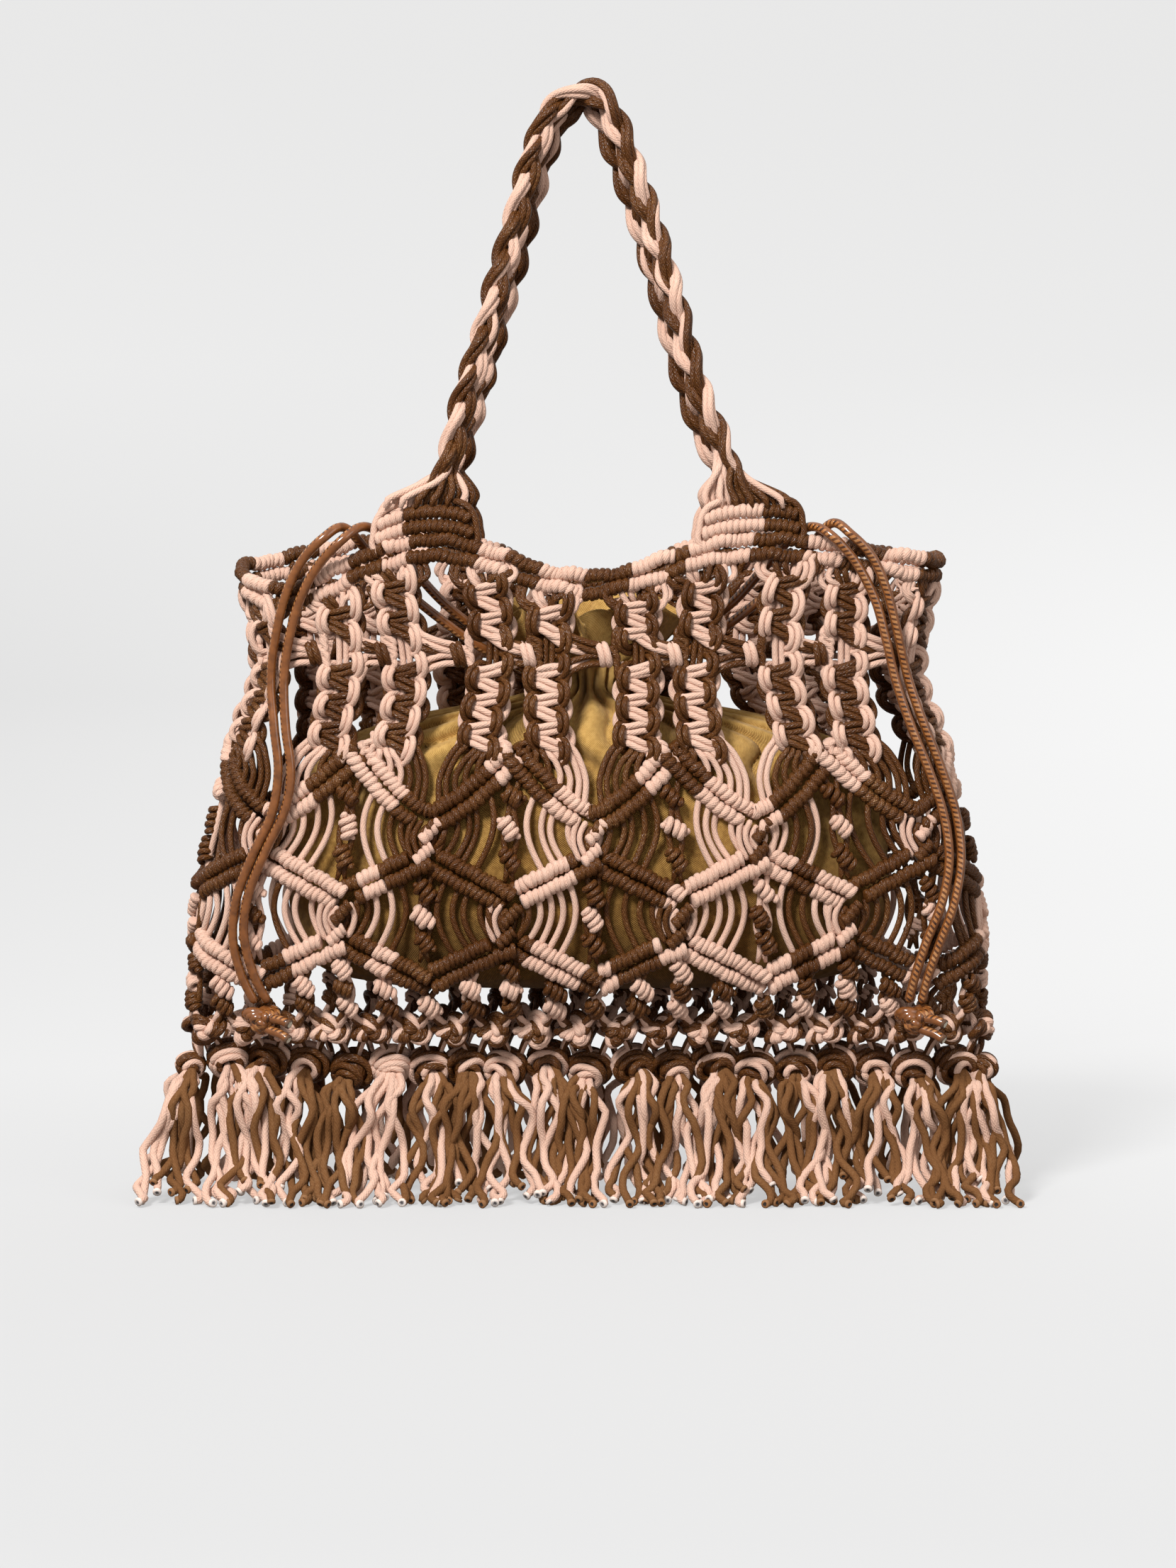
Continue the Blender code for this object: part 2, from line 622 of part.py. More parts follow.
def make_lace_knot(name, centre, material):
    """Overhand knot of both strands, with its two cut tails on the right."""
    mesh_builder = bmesh.new()
    bmesh.ops.create_uvsphere(mesh_builder, u_segments=12, v_segments=7, radius=0.5)
    for vert in mesh_builder.verts:
        vert.co.x *= LACE_KNOT_WIDTH
        vert.co.y *= LACE_KNOT_HEIGHT
        vert.co.z *= LACE_KNOT_HEIGHT
    knot = finish_mesh(name, mesh_builder, material)
    knot.location = centre
    length = LACE_KNOT_WIDTH / 2 + LACE_TAIL
    for number, (rise, drop) in enumerate(((0.10, -0.15), (-0.28, -0.62))):
        bpy.ops.mesh.primitive_cylinder_add(vertices=8, radius=LACE / 2, depth=length)
        tail = bpy.context.object
        tail.name = "%s_tail_%d" % (name, number)
        tail.rotation_euler = (0, math.pi / 2 - drop, 0)
        reach = length / 2
        tail.location = (centre[0] + reach * math.cos(drop), centre[1] - 0.25 * LACE_KNOT_HEIGHT,
                         centre[2] + rise * LACE_KNOT_HEIGHT + reach * math.sin(drop))
        for owner in list(tail.users_collection):
            owner.objects.unlink(tail)
        cutters.objects.link(tail)
        tail.hide_render = True
        tail.display_type = "WIRE"
        join = knot.modifiers.new("tail", "BOOLEAN")
        join.operation = "UNION"
        join.solver = "EXACT"
        join.object = tail


clear_scene()
parts = bpy.data.collections.new("net_bag")
cutters = bpy.data.collections.new("cutters")
bpy.context.scene.collection.children.link(parts)
bpy.context.scene.collection.children.link(cutters)

pink = make_material("pink_cord", (0.72, 0.46, 0.36), 0.75)
brown = make_material("brown_cord", (0.11, 0.06, 0.028), 0.40)
canvas = make_material("canvas", (0.42, 0.29, 0.10), 0.85)
leather = make_material("leather", (0.22, 0.08, 0.025), 0.42)

make_net(pink, brown)
make_rim(pink)
make_tabs({"left": brown, "right": pink})
make_handle("handle_front", -1, brown)
make_handle("handle_back", 1, brown)
make_pouch(canvas)
make_fringe(brown)
for lace_name, lace_route in LACE_ROUTES.items():
    make_lace(lace_name, lace_route, leather)
for knot_name, knot_centre in LACE_KNOTS.items():
    make_lace_knot(knot_name, knot_centre, leather)
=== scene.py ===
# A knotted cord net bag with a canvas pouch inside, dressed over its CAD frame.
# Metres, +Z up, front towards -Y. Every cord is a circle carried along a path worked out with numpy.
import math

import bpy
import numpy as np
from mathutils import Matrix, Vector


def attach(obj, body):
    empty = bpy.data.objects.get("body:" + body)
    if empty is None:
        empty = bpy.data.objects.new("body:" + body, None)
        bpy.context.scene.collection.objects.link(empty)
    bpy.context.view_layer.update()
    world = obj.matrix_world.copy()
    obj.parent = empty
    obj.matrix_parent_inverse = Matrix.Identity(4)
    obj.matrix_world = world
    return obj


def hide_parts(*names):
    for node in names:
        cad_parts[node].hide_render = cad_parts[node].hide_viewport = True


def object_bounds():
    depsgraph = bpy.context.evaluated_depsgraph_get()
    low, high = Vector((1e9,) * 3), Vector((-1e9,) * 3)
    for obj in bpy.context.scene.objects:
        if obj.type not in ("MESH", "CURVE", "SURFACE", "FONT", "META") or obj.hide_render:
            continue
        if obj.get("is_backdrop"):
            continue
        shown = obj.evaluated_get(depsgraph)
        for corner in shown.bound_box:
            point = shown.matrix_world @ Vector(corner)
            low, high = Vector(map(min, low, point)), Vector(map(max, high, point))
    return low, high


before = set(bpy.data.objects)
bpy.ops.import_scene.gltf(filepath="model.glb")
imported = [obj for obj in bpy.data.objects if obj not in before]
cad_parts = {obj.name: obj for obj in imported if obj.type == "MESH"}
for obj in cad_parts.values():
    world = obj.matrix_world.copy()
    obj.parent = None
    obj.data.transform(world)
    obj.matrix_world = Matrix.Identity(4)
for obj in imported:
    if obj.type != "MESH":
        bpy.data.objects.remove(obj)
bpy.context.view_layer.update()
rng = np.random.default_rng(7)
turnAngle = 2 * math.pi
print("frame loaded")

# Camera: long lens, a little above the bag, aimed at the middle of the photo
camera = {"distance": 2.2, "down": 5.0, "aim": (0.0, 0.0, 0.1956), "frameHeight": 0.741}
lookDown = math.radians(camera["down"])
cameraData = bpy.data.cameras.new("camera")
cameraData.sensor_width = 36.0
cameraData.lens = 36.0 * camera["distance"] / camera["frameHeight"]
cameraObject = bpy.data.objects.new("camera", cameraData)
cameraObject.location = (camera["aim"][0],
                         camera["aim"][1] - camera["distance"] * math.cos(lookDown),
                         camera["aim"][2] + camera["distance"] * math.sin(lookDown))
cameraObject.rotation_euler = (math.pi / 2 - lookDown, 0, 0)
bpy.context.scene.collection.objects.link(cameraObject)
bpy.context.scene.camera = cameraObject

photo = {"middle": 829.5, "pixel": 0.000335, "nearFace": 0.982}

# The net's wall, as the frame has it: rows are height share, half width, end radius and swell
wall = {
    "mouth": 0.306, "width": 0.386, "depth": 0.098, "thick": 0.008, "flatTop": 1.15,
    "repeats": 10, "shift": 0.03,
    "rows": np.array((
        (0.190, 1.000, 0.130, 0.010), (0.224, 1.000, 0.140, 0.020), (0.262, 0.992, 0.240, 0.120),
        (0.340, 0.984, 0.420, 0.340), (0.460, 0.974, 0.540, 0.440), (0.580, 0.936, 0.580, 0.420),
        (0.720, 0.876, 0.560, 0.330), (0.800, 0.828, 0.540, 0.270), (0.850, 0.826, 0.530, 0.270),
        (0.930, 0.850, 0.520, 0.300), (1.000, 0.880, 0.520, 0.320), (1.080, 0.880, 0.520, 0.320))),
    "rimRows": np.array((
        (0.000, 0.951), (0.030, 0.964), (0.055, 0.984), (0.085, 1.004), (0.115, 1.009),
        (0.150, 1.003), (0.210, 0.980), (0.250, 0.972), (0.300, 0.978), (0.360, 1.000),
        (0.410, 1.000), (0.445, 0.978), (0.470, 0.948), (0.500, 0.932), (0.530, 0.948),
        (0.555, 0.978), (0.590, 1.000),
        (0.640, 1.000), (0.700, 0.975), (0.750, 0.955), (0.800, 0.932), (0.850, 0.978),
        (0.885, 1.004), (0.915, 1.005), (0.945, 0.984), (0.970, 0.964), (1.000, 0.951))),
}


def smoothTable(rows, share):
    # cubic curve through the rows, its slope at a row taken from the rows either side
    keys = rows[:, 0]
    share = np.clip(np.asarray(share, float), keys[0], keys[-1])
    place = np.clip(np.searchsorted(keys, share) - 1, 0, len(keys) - 2)
    before = np.maximum(place - 1, 0)
    after = np.minimum(place + 2, len(keys) - 1)
    low, high = keys[place], keys[place + 1]
    span = (high - low)[..., None]
    step = (share - low)[..., None] / span
    start, end = rows[place, 1:], rows[place + 1, 1:]
    slopeStart = (end - rows[before, 1:]) / (high - keys[before])[..., None] * span
    slopeEnd = (rows[after, 1:] - start) / (keys[after] - low)[..., None] * span
    return ((2 * step ** 3 - 3 * step ** 2 + 1) * start + (step ** 3 - 2 * step ** 2 + step) * slopeStart
            + (3 * step ** 2 - 2 * step ** 3) * end + (step ** 3 - step ** 2) * slopeEnd)


def wallSection(height):
    # the wall's section: length of the half flat, radius of the end, swell, and a quarter of the girth
    shape = smoothTable(wall["rows"], np.asarray(height) / wall["mouth"])
    halfWidth = shape[..., 0] * wall["width"] / 2 - wall["thick"] / 2
    halfDepth = (wall["depth"] - wall["thick"]) / 2
    radius = shape[..., 1] * halfDepth
    flat = halfWidth - radius
    return flat, radius, shape[..., 2] * halfDepth, flat + math.pi / 2 * radius


def wallPoint(turn, height):
    # a flat stretch that swells as a cosine, closed at each side by a half circle
    turn, height = np.broadcast_arrays(np.asarray(turn, float) % 1.0, np.asarray(height, float))
    flat, radius, swell, quarter = wallSection(height)
    run = np.abs((turn + 0.25) % 0.5 - 0.25) * 4 * quarter
    share = np.clip(run / flat, 0, 1)
    angle = np.maximum(run - flat, 0) / radius
    across = np.where(run < flat, run, flat + radius * np.sin(angle))
    deep = np.where(run < flat, radius + swell * np.cos(math.pi / 2 * share) ** wall["flatTop"],
                    radius * np.cos(angle))
    sideX = np.where(turn < 0.5, 1.0, -1.0)
    sideY = np.where((turn < 0.25) | (turn > 0.75), -1.0, 1.0)
    return lastAxis(sideX * across, sideY * deep, height)


def lastAxis(*values):
    # whole arrays side by side on a new last axis, such as x, y and z, or a quad's four corners
    return np.stack(np.broadcast_arrays(*values), -1)


def unit(vectors):
    # each vector over its own length
    return vectors / np.maximum(np.linalg.norm(vectors, axis=-1, keepdims=True), 1e-12)


def toWall(turn, local):
    # metres right along the wall, height, and metres out along its normal, which is side x rise
    across, height, out = local[..., 0], local[..., 1], local[..., 2]
    here = turn + across / (4 * wallSection(height)[3])
    side = wallPoint(here + 0.002, height) - wallPoint(here - 0.002, height)
    rise = wallPoint(here, height + 0.002) - wallPoint(here, height - 0.002)
    return wallPoint(here, height) + unit(np.cross(side, rise)) * out[..., None]


def rimHeight(turn):
    # the rim's middle: its table's share at this turn, times the mouth's height
    return smoothTable(wall["rimRows"], np.asarray(turn) % 1.0)[..., 0] * wall["mouth"]


def turnOf(repeat, share):
    # share of a turn at a share of one repeat of the pattern
    return (repeat + share + wall["shift"]) / wall["repeats"]


def frontTurn(across):
    # share of a turn at which the mouth's wall stands a distance right of the middle
    turns = np.linspace(-0.25, 0.25, 401)
    return np.interp(across, wallPoint(turns, wall["mouth"])[:, 0], turns)


def pixelAcross(pixel):
    # metres right of the middle, for a column of the photo, on the bag's near face
    return (np.asarray(pixel, float) - photo["middle"]) * photo["pixel"] * photo["nearFace"]


def throughPoints(points, samples):
    # Catmull-Rom curve: each stretch a cubic in t from four points, which lie on the last axis but one
    points = np.asarray(points, float)
    count = points.shape[-2]
    place = np.linspace(0, count - 1, samples)
    low = np.minimum(place.astype(int), count - 2)
    t = (place - low)[:, None]
    first = points[..., np.maximum(low - 1, 0), :]
    second, third = points[..., low, :], points[..., low + 1, :]
    fourth = points[..., np.minimum(low + 2, count - 1), :]
    return 0.5 * (2 * second + (third - first) * t + (2 * first - 5 * second + 4 * third - fourth) * t ** 2
                  + (3 * second - first - 3 * third + fourth) * t ** 3)


def runAlong(line):
    # metres along a line of points, from its first to each
    return np.concatenate(([0.0], np.cumsum(np.linalg.norm(np.diff(line, axis=0), axis=1))))


def pointsAt(wanted, run, points):
    # places on a line of points, where run says how far along each point is
    return np.stack([np.interp(wanted, run, points[:, axis]) for axis in range(3)], -1)


def evenPath(points, spacing):
    # the same curve, walked at an even spacing
    dense = throughPoints(points, 12 * (len(points) - 1) + 1)
    run = runAlong(dense)
    return pointsAt(np.linspace(0, run[-1], max(2, round(run[-1] / spacing)) + 1), run, dense)


def pathFrames(paths):
    # tangents by differences, and a normal slid along each path without twist
    along = unit(np.gradient(paths, axis=-2))
    spare = np.where(np.abs(along[:, 0, 1:2]) < 0.8, [[0.0, 1.0, 0.0]], [[1.0, 0.0, 0.0]])
    normals = np.zeros_like(paths)
    now = unit(np.cross(along[:, 0], spare))
    for place in range(paths.shape[1]):
        now = unit(now - (now * along[:, place]).sum(-1, keepdims=True) * along[:, place])
        normals[:, place] = now
    return along, normals, np.cross(along, normals)


def circleRound(first, second, sides):
    # a unit circle at each place: cos times one vector, plus sin times the other
    angle = (np.arange(sides) * turnAngle / sides)[:, None]
    return first[..., None, :] * np.cos(angle) + second[..., None, :] * np.sin(angle)


bundles = {}
cordUnit = 0.003  # one unit along a cord's UV


def keepTubes(piece, tone, paths, rings, across=None):
    # stores closed tubes: UV runs along the path, or round it where the cords wrap a rope
    steps = np.linalg.norm(np.diff(paths, axis=1), axis=-1)
    along = np.concatenate((np.zeros((len(paths), 1)), np.cumsum(steps, 1)), 1) / cordUnit
    bundles.setdefault((piece, tone), []).append((paths, rings, along, across))


def cords(piece, paths, tones, radius=0.0015, sides=8):
    # round cords with their ends drawn in; tones is one letter, or one for each path
    paths = np.asarray(paths, float)
    if paths.ndim == 2:
        paths = paths[None]
    tones = np.array(list(tones) if len(tones) == len(paths) else [tones] * len(paths))
    reach = np.broadcast_to(np.asarray(radius, float), paths.shape[:2]).copy()
    reach[:, (0, -1)] *= 0.6
    for tone in sorted(set(tones)):
        chosen = paths[tones == tone]
        _, normal, binormal = pathFrames(chosen)
        rings = circleRound(normal, binormal, sides) * reach[tones == tone][..., None, None]
        keepTubes(piece, tone, chosen, chosen[:, :, None] + rings)


winding = {"lean": 0.2, "leanJitter": 0.1, "swell": 0.1, "uvAcross": 0.4, "uvAround": 7.0}
ridgePlaces = np.array((0.0, 0.10, 0.30, 0.5, 0.70, 0.90))
ridgeLift = np.sqrt(1 - (2 * ridgePlaces - 1) ** 2)


def wrappedRope(piece, tone, pathOf, wraps, inner, outer, sides=10):
    # a cord wound closely round a rope: each turn is a half-circle ridge along the path
    places = (np.arange(wraps)[:, None] + ridgePlaces).ravel()
    places = np.append(places, wraps)
    lift = np.append(np.tile(ridgeLift, wraps), 0.0)
    turns = np.append(np.repeat(np.arange(wraps), len(ridgePlaces)), wraps - 1)
    swell = 1 + winding["swell"] * rng.standard_normal(wraps)
    path = pathOf(places / wraps)[None]
    radius = inner + (outer - inner) * lift * swell[turns]
    leans = winding["lean"] + winding["leanJitter"] * rng.standard_normal(wraps)[turns]
    along, normal, binormal = pathFrames(path)
    rings = path[:, :, None] + circleRound(normal, binormal, sides) * radius[None, :, None, None]
    lean = leans[:, None] * outer * np.cos(np.arange(sides) * turnAngle / sides + 0.7)
    rings = rings + along[:, :, None] * lean[None, :, :, None]
    keepTubes(piece, tone, path, rings, places * winding["uvAcross"])


def ringQuads(rows, sides):
    # quads between neighbouring rings of points, with each quad's row and side
    row, side = np.meshgrid(np.arange(rows - 1), np.arange(sides), indexing="ij")
    after = (side + 1) % sides
    quads = np.stack((row * sides + side, row * sides + after,
                      (row + 1) * sides + after, (row + 1) * sides + side), -1)
    return row, side, quads.reshape(-1, 4)


def ringFan(centre, start, sides):
    # triangles from one point to the ring of points that begins at start
    ring = np.arange(sides)
    return np.stack((np.full(sides, centre), start + (ring + 1) % sides, start + ring), -1)


def buildPiece(piece, tone, blocks, material):
    # every tube's quads and its two end fans in one mesh, with UVs per corner
    points, quads, fans, quadUvs, fanUvs = [], [], [], [], []
    base = 0
    for paths, rings, along, across in blocks:
        count, rows, sides = rings.shape[:3]
        size = rows * sides + 2
        ends = np.stack((paths[:, 0], paths[:, -1]), 1)
        points.append(np.concatenate((rings.reshape(count, -1, 3), ends), 1).reshape(-1, 3))
        row, side, corners = ringQuads(rows, sides)
        starts = base + np.arange(count)[:, None, None] * size
        quads.append((corners[None] + starts).reshape(-1, 4))
        caps = (ringFan(size - 2, 0, sides), ringFan(size - 1, (rows - 1) * sides, sides)[:, (0, 2, 1)])
        fans.append((np.concatenate(caps)[None] + starts).reshape(-1, 3))
        low, high = side / sides, (side + 1) / sides
        around = lastAxis(low, high, high, low)
        if across is None:
            u = lastAxis(along[:, row], along[:, row], along[:, row + 1], along[:, row + 1])
            v = np.broadcast_to(around, u.shape)
        else:
            u = np.broadcast_to(around * winding["uvAround"], (count, rows - 1, sides, 4))
            v = lastAxis(across[row], across[row], across[row + 1], across[row + 1])
            v = np.broadcast_to(v, u.shape)
        quadUvs.append(lastAxis(u, v).reshape(-1, 2))
        fanUvs.append(np.full((count * sides * 2 * 3, 2), 0.25))
        base += count * size
    return makeMesh(piece, tone, np.concatenate(points), np.concatenate(quads), np.concatenate(fans),
                    np.concatenate(quadUvs + fanUvs), material)


def makeMesh(piece, tone, points, quads, fans, uvs, material):
    # one smooth mesh from arrays: quads first, then triangles, with a UV for every corner
    mesh = bpy.data.meshes.new(piece)
    corners = np.concatenate((quads.ravel(), fans.ravel()))
    starts = np.concatenate((np.arange(len(quads)) * 4, len(quads) * 4 + np.arange(len(fans)) * 3))
    mesh.vertices.add(len(points))
    mesh.vertices.foreach_set("co", points.astype(np.float32).ravel())
    mesh.loops.add(len(corners))
    mesh.loops.foreach_set("vertex_index", corners.astype(np.int32))
    mesh.polygons.add(len(starts))
    mesh.polygons.foreach_set("loop_start", starts.astype(np.int32))
    mesh.polygons.foreach_set("use_smooth", np.ones(len(starts), bool))
    layer = mesh.uv_layers.new(name="cord")
    layer.data.foreach_set("uv", uvs.astype(np.float32).ravel())
    mesh.update(calc_edges=True)
    mesh.materials.append(material)
    made = bpy.data.objects.new(piece + ("_" + toneNames[tone] if tone else ""), mesh)
    bpy.context.scene.collection.objects.link(made)
    return made


toneNames = {"p": "pink", "b": "brown", "m": "matte"}
toneSlots = {"p": "pink_cord", "b": "brown_cord", "m": "brown_cord"}


def settle(made, node):
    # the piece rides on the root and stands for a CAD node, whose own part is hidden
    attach(made, "root")
    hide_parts(node)


def finishCords(piece, node):
    # one mesh for each tone that the piece has cords of
    for tone, slot in toneSlots.items():
        blocks = bundles.pop((piece, tone), None)
        if blocks:
            made = buildPiece(piece, tone, blocks, cordMaterials[tone])
            settle(made, node)
            print(made.name, len(made.data.polygons), "faces")


# Materials: each helper adds a node to the tree that was opened last
tree = {}


def openTree(owner):
    # the nodes, links and coordinates of a material or world
    owner.use_nodes = True
    tree.update(nodes=owner.node_tree.nodes, links=owner.node_tree.links)
    tree["coordinates"] = tree["nodes"].new("ShaderNodeTexCoord")


def newMaterial(name):
    # a material with its tree open, and its shader's sockets
    material = bpy.data.materials.new(name)
    openTree(material)
    return material, tree["nodes"]["Principled BSDF"].inputs


def mathNode(operation, *values):
    # each value a number, or the output of another node
    node = tree["nodes"].new("ShaderNodeMath")
    node.operation = operation
    for socket, value in zip(node.inputs, values):
        if isinstance(value, (int, float)):
            socket.default_value = value
        else:
            tree["links"].new(value, socket)
    return node.outputs[0]


def times(first, second):
    return mathNode("MULTIPLY", first, second)


def minus(first, second):
    return mathNode("SUBTRACT", first, second)


def plus(first, *others):
    for other in others:
        first = mathNode("ADD", first, other)
    return first


def axes(kind):
    # the x, y and z of a kind of coordinates
    node = tree["nodes"].new("ShaderNodeSeparateXYZ")
    tree["links"].new(tree["coordinates"].outputs[kind], node.inputs[0])
    return node.outputs


def noise(scale, detail=2.0):
    node = tree["nodes"].new("ShaderNodeTexNoise")
    node.inputs["Scale"].default_value = scale
    node.inputs["Detail"].default_value = detail
    tree["links"].new(tree["coordinates"].outputs["Object"], node.inputs["Vector"])
    return node.outputs[0]


def colour(socket, factor, stops):
    # a ramp through the stops, each a place and a colour
    node = tree["nodes"].new("ShaderNodeValToRGB")
    elements = node.color_ramp.elements
    while len(elements) < len(stops):
        elements.new(0.5)
    for element, (place, shade) in zip(elements, stops):
        element.position = place
        element.color = (*shade, 1.0)
    tree["links"].new(factor, node.inputs[0])
    if socket is not None:
        tree["links"].new(node.outputs[0], socket)
    return node.outputs[0]


def surface(inputs, height, strength, distance, **values):
    # bump from a height, and plain values for the shader's other sockets
    bump = tree["nodes"].new("ShaderNodeBump")
    bump.inputs["Strength"].default_value = strength
    bump.inputs["Distance"].default_value = distance
    tree["links"].new(height, bump.inputs["Height"])
    tree["links"].new(bump.outputs[0], inputs["Normal"])
    setValues(inputs, **values)


def setValues(inputs, roughness, specular, sheen=0.0):
    inputs["Roughness"].default_value = roughness
    inputs["Specular IOR Level"].default_value = specular
    inputs["Sheen Weight"].default_value = sheen


def cordMaterial(name, look):
    # braid: slanted waves both ways round the cord, bent by noise so that no two strokes match
    material, inputs = newMaterial(name)
    along, roundIt, _ = axes("UV")
    wander = times(noise(look["wanderScale"]), look["wander"])
    lengthwise = plus(times(along, turnAngle * look["braidAlong"]), wander)
    around = times(roundIt, turnAngle * look["braidAround"])
    rising = mathNode("SINE", plus(around, lengthwise))
    falling = mathNode("SINE", minus(around, lengthwise))
    strokes = plus(times(rising, 0.65), times(falling, 0.35))
    # fine speckle of the fibres; on the waxed brown its highest values reach the painted highlight stop,
    # glints of wax
    speckle = noise(look["speckleScale"], 3.0)
    mixed = plus(times(strokes, look["braidTint"]), times(minus(speckle, 0.5), look["speckleAndGlintTint"]),
                 times(minus(noise(look["driftScale"]), 0.5), look["driftTint"]), 0.5)
    colour(inputs["Base Color"], mixed, look["stops"])
    surface(inputs, plus(strokes, times(speckle, look["fuzz"])), look["bump"], 0.0003,
            roughness=look["roughness"], specular=look["specular"], sheen=look["sheen"])
    return material


cordLook = {"braidAlong": 1.5, "braidAround": 8, "wanderScale": 420.0, "driftScale": 38.0, "sheen": 0.0}
cordMaterials = {
    "p": cordMaterial("pinkCotton", {
        **cordLook, "wander": 9.0, "braidTint": 0.07, "speckleScale": 900.0, "speckleAndGlintTint": 0.40,
        "driftTint": 0.35, "bump": 0.42, "fuzz": 1.1, "roughness": 0.85, "specular": 0.15, "sheen": 0.12,
        "stops": ((0.0, (0.39, 0.215, 0.150)), (0.5, (0.620, 0.395, 0.298)), (1.0, (0.80, 0.58, 0.47)))}),
    "b": cordMaterial("brownWaxed", {
        **cordLook, "wander": 10.0, "braidTint": 0.10, "speckleScale": 800.0, "speckleAndGlintTint": 0.6,
        "driftTint": 0.4, "bump": 0.55, "fuzz": 1.4, "roughness": 0.33, "specular": 0.24,
        # the last stop is painted highlight: bright glints of wax on the brown cord
        "stops": ((0.0, (0.022, 0.0058, 0.0011)), (0.45, (0.073, 0.0235, 0.0048)),
                  (0.66, (0.128, 0.049, 0.0130)), (0.82, (0.38, 0.23, 0.11)))}),
    "m": cordMaterial("brownCotton", {
        **cordLook, "wander": 9.0, "braidTint": 0.05, "speckleScale": 900.0, "speckleAndGlintTint": 0.45,
        "driftTint": 0.40, "bump": 0.30, "fuzz": 1.6, "roughness": 0.85, "specular": 0.10,
        "stops": ((0.0, (0.055, 0.021, 0.006)), (0.5, (0.155, 0.067, 0.024)), (1.0, (0.27, 0.15, 0.070)))}),
}

# Rim: two rows of wrapped rope round the mouth, in runs of either colour
rim = {
    "rope": 0.0070, "inner": 0.0025, "outer": 0.0035, "pitch": 0.00275, "rowGap": 0.0035, "sag": 0.0006,
    "frontEnds": (332, 367, 432, 490, 540, 578, 675, 715, 760, 825, 890, 950, 970, 1060, 1137, 1190,
                  1247, 1305),
    "frontTones": "bpbpbpbpbpbpbpbpbpb", "backRun": 0.0185,
}
frontEnds = frontTurn(pixelAcross(rim["frontEnds"]))
backCount = round(0.5 * 4 * wallSection(wall["mouth"])[3] / rim["backRun"] / 2) * 2 + 1
backEnds = np.linspace(0.25, 0.75, backCount + 1)
rimEnds = np.concatenate((frontEnds, backEnds[1:-1], [1 + frontEnds[0]]))
rimTones = rim["frontTones"][1:-1] + ("bp" * backCount)[:backCount]


def rimPath(row, start, end):
    # the rim's line at this turn, up or down by the rows' spacing, and wandering as two sines
    def pathOf(share):
        turn = start + (end - start) * share
        apart = rim["rowGap"] + rim["sag"] * np.clip(np.sin(turnAngle * turn * 19 + 2), 0, 1)
        wave = 0.0006 * np.sin(turnAngle * turn * 23 + row * 2)
        wave = wave + 0.0004 * np.sin(turnAngle * turn * 51 - row)
        return toWall(turn, lastAxis(0.0, rimHeight(turn) + row * apart + wave, wave - 0.0002 * row))
    return pathOf


for row in (-1, 1):
    for place, tone in enumerate(rimTones):
        start, end = rimEnds[place], rimEnds[place + 1]
        start, end = start + row * 0.0012, end + row * 0.0012
        length = (end - start) * 4 * wallSection(wall["mouth"])[3]
        wrappedRope("rimRopes", tone, rimPath(row, start, end), max(2, round(length / rim["pitch"])),
                    rim["inner"], rim["outer"])

# Tabs: two more rows on the rim under each handle end
tab = {"reach": 0.0755, "foot": 0.046, "top": 0.042, "row": 0.0066, "inner": 0.0024, "outer": 0.0034,
       "pinkShare": {"left": 0.28, "right": 0.64}, "endCord": 0.0016,
       "endSpots": ((0.0220, 0.0020), (0.0246, 0.0075), (0.0240, 0.0120), (0.0232, 0.0170),
                    (0.0200, 0.0212), (0.0140, 0.0228))}
for sideName, sideX in (("left", -1), ("right", 1)):
    for faceName, sideY in (("front", -1), ("back", 1)):
        piece = "tab_%s_%s_ropes" % (faceName, sideName)
        for row in (0, 1):
            width = tab["foot"] + (tab["top"] - tab["foot"]) * (row + 0.5) / 2
            ends = np.array((0.0, tab["pinkShare"][sideName], 1.0)) - 0.5
            for tone, first, last in (("p", ends[0], ends[1]), ("b", ends[1], ends[2])):

                def pathOf(share, first=first, last=last, width=width, row=row, sideX=sideX, sideY=sideY):
                    across = sideX * tab["reach"] + (first + (last - first) * share) * width
                    turn = frontTurn(across)
                    turn = turn if sideY < 0 else 0.5 - turn
                    point = wallPoint(turn, wall["mouth"])
                    droop = 0.0012 * (2 * (first + (last - first) * share)) ** 4
                    point[..., 2] = rimHeight(turn) + rim["rope"] + tab["row"] * (row + 0.5) - droop
                    return point
                wrappedRope(piece, tone, pathOf, round((last - first) * width / rim["pitch"]),
                            tab["inner"], tab["outer"])
        # a cord turns round the ends of the rows, from the rim up into the handle's foot
        for end, tone in ((-1, "p"), (1, "b")):
            for twin in (0, 1):
                spots = np.array(tab["endSpots"])
                turn = frontTurn(sideX * tab["reach"] + end * (spots[:, 0] - 0.0022 * twin))
                turn = turn if sideY < 0 else 0.5 - turn
                path = wallPoint(turn, wall["mouth"])
                path[:, 1] += sideY * (0.0012 - 0.0030 * twin)
                path[:, 2] = rimHeight(turn) + spots[:, 1]
                cords(piece, throughPoints(path, 20), tone, tab["endCord"])

finishCords("rimRopes", "rim")
for sideName in ("left", "right"):
    for faceName in ("front", "back"):
        finishCords("tab_%s_%s_ropes" % (faceName, sideName), "tab_%s_%s" % (faceName, sideName))
print("rim and tabs made")

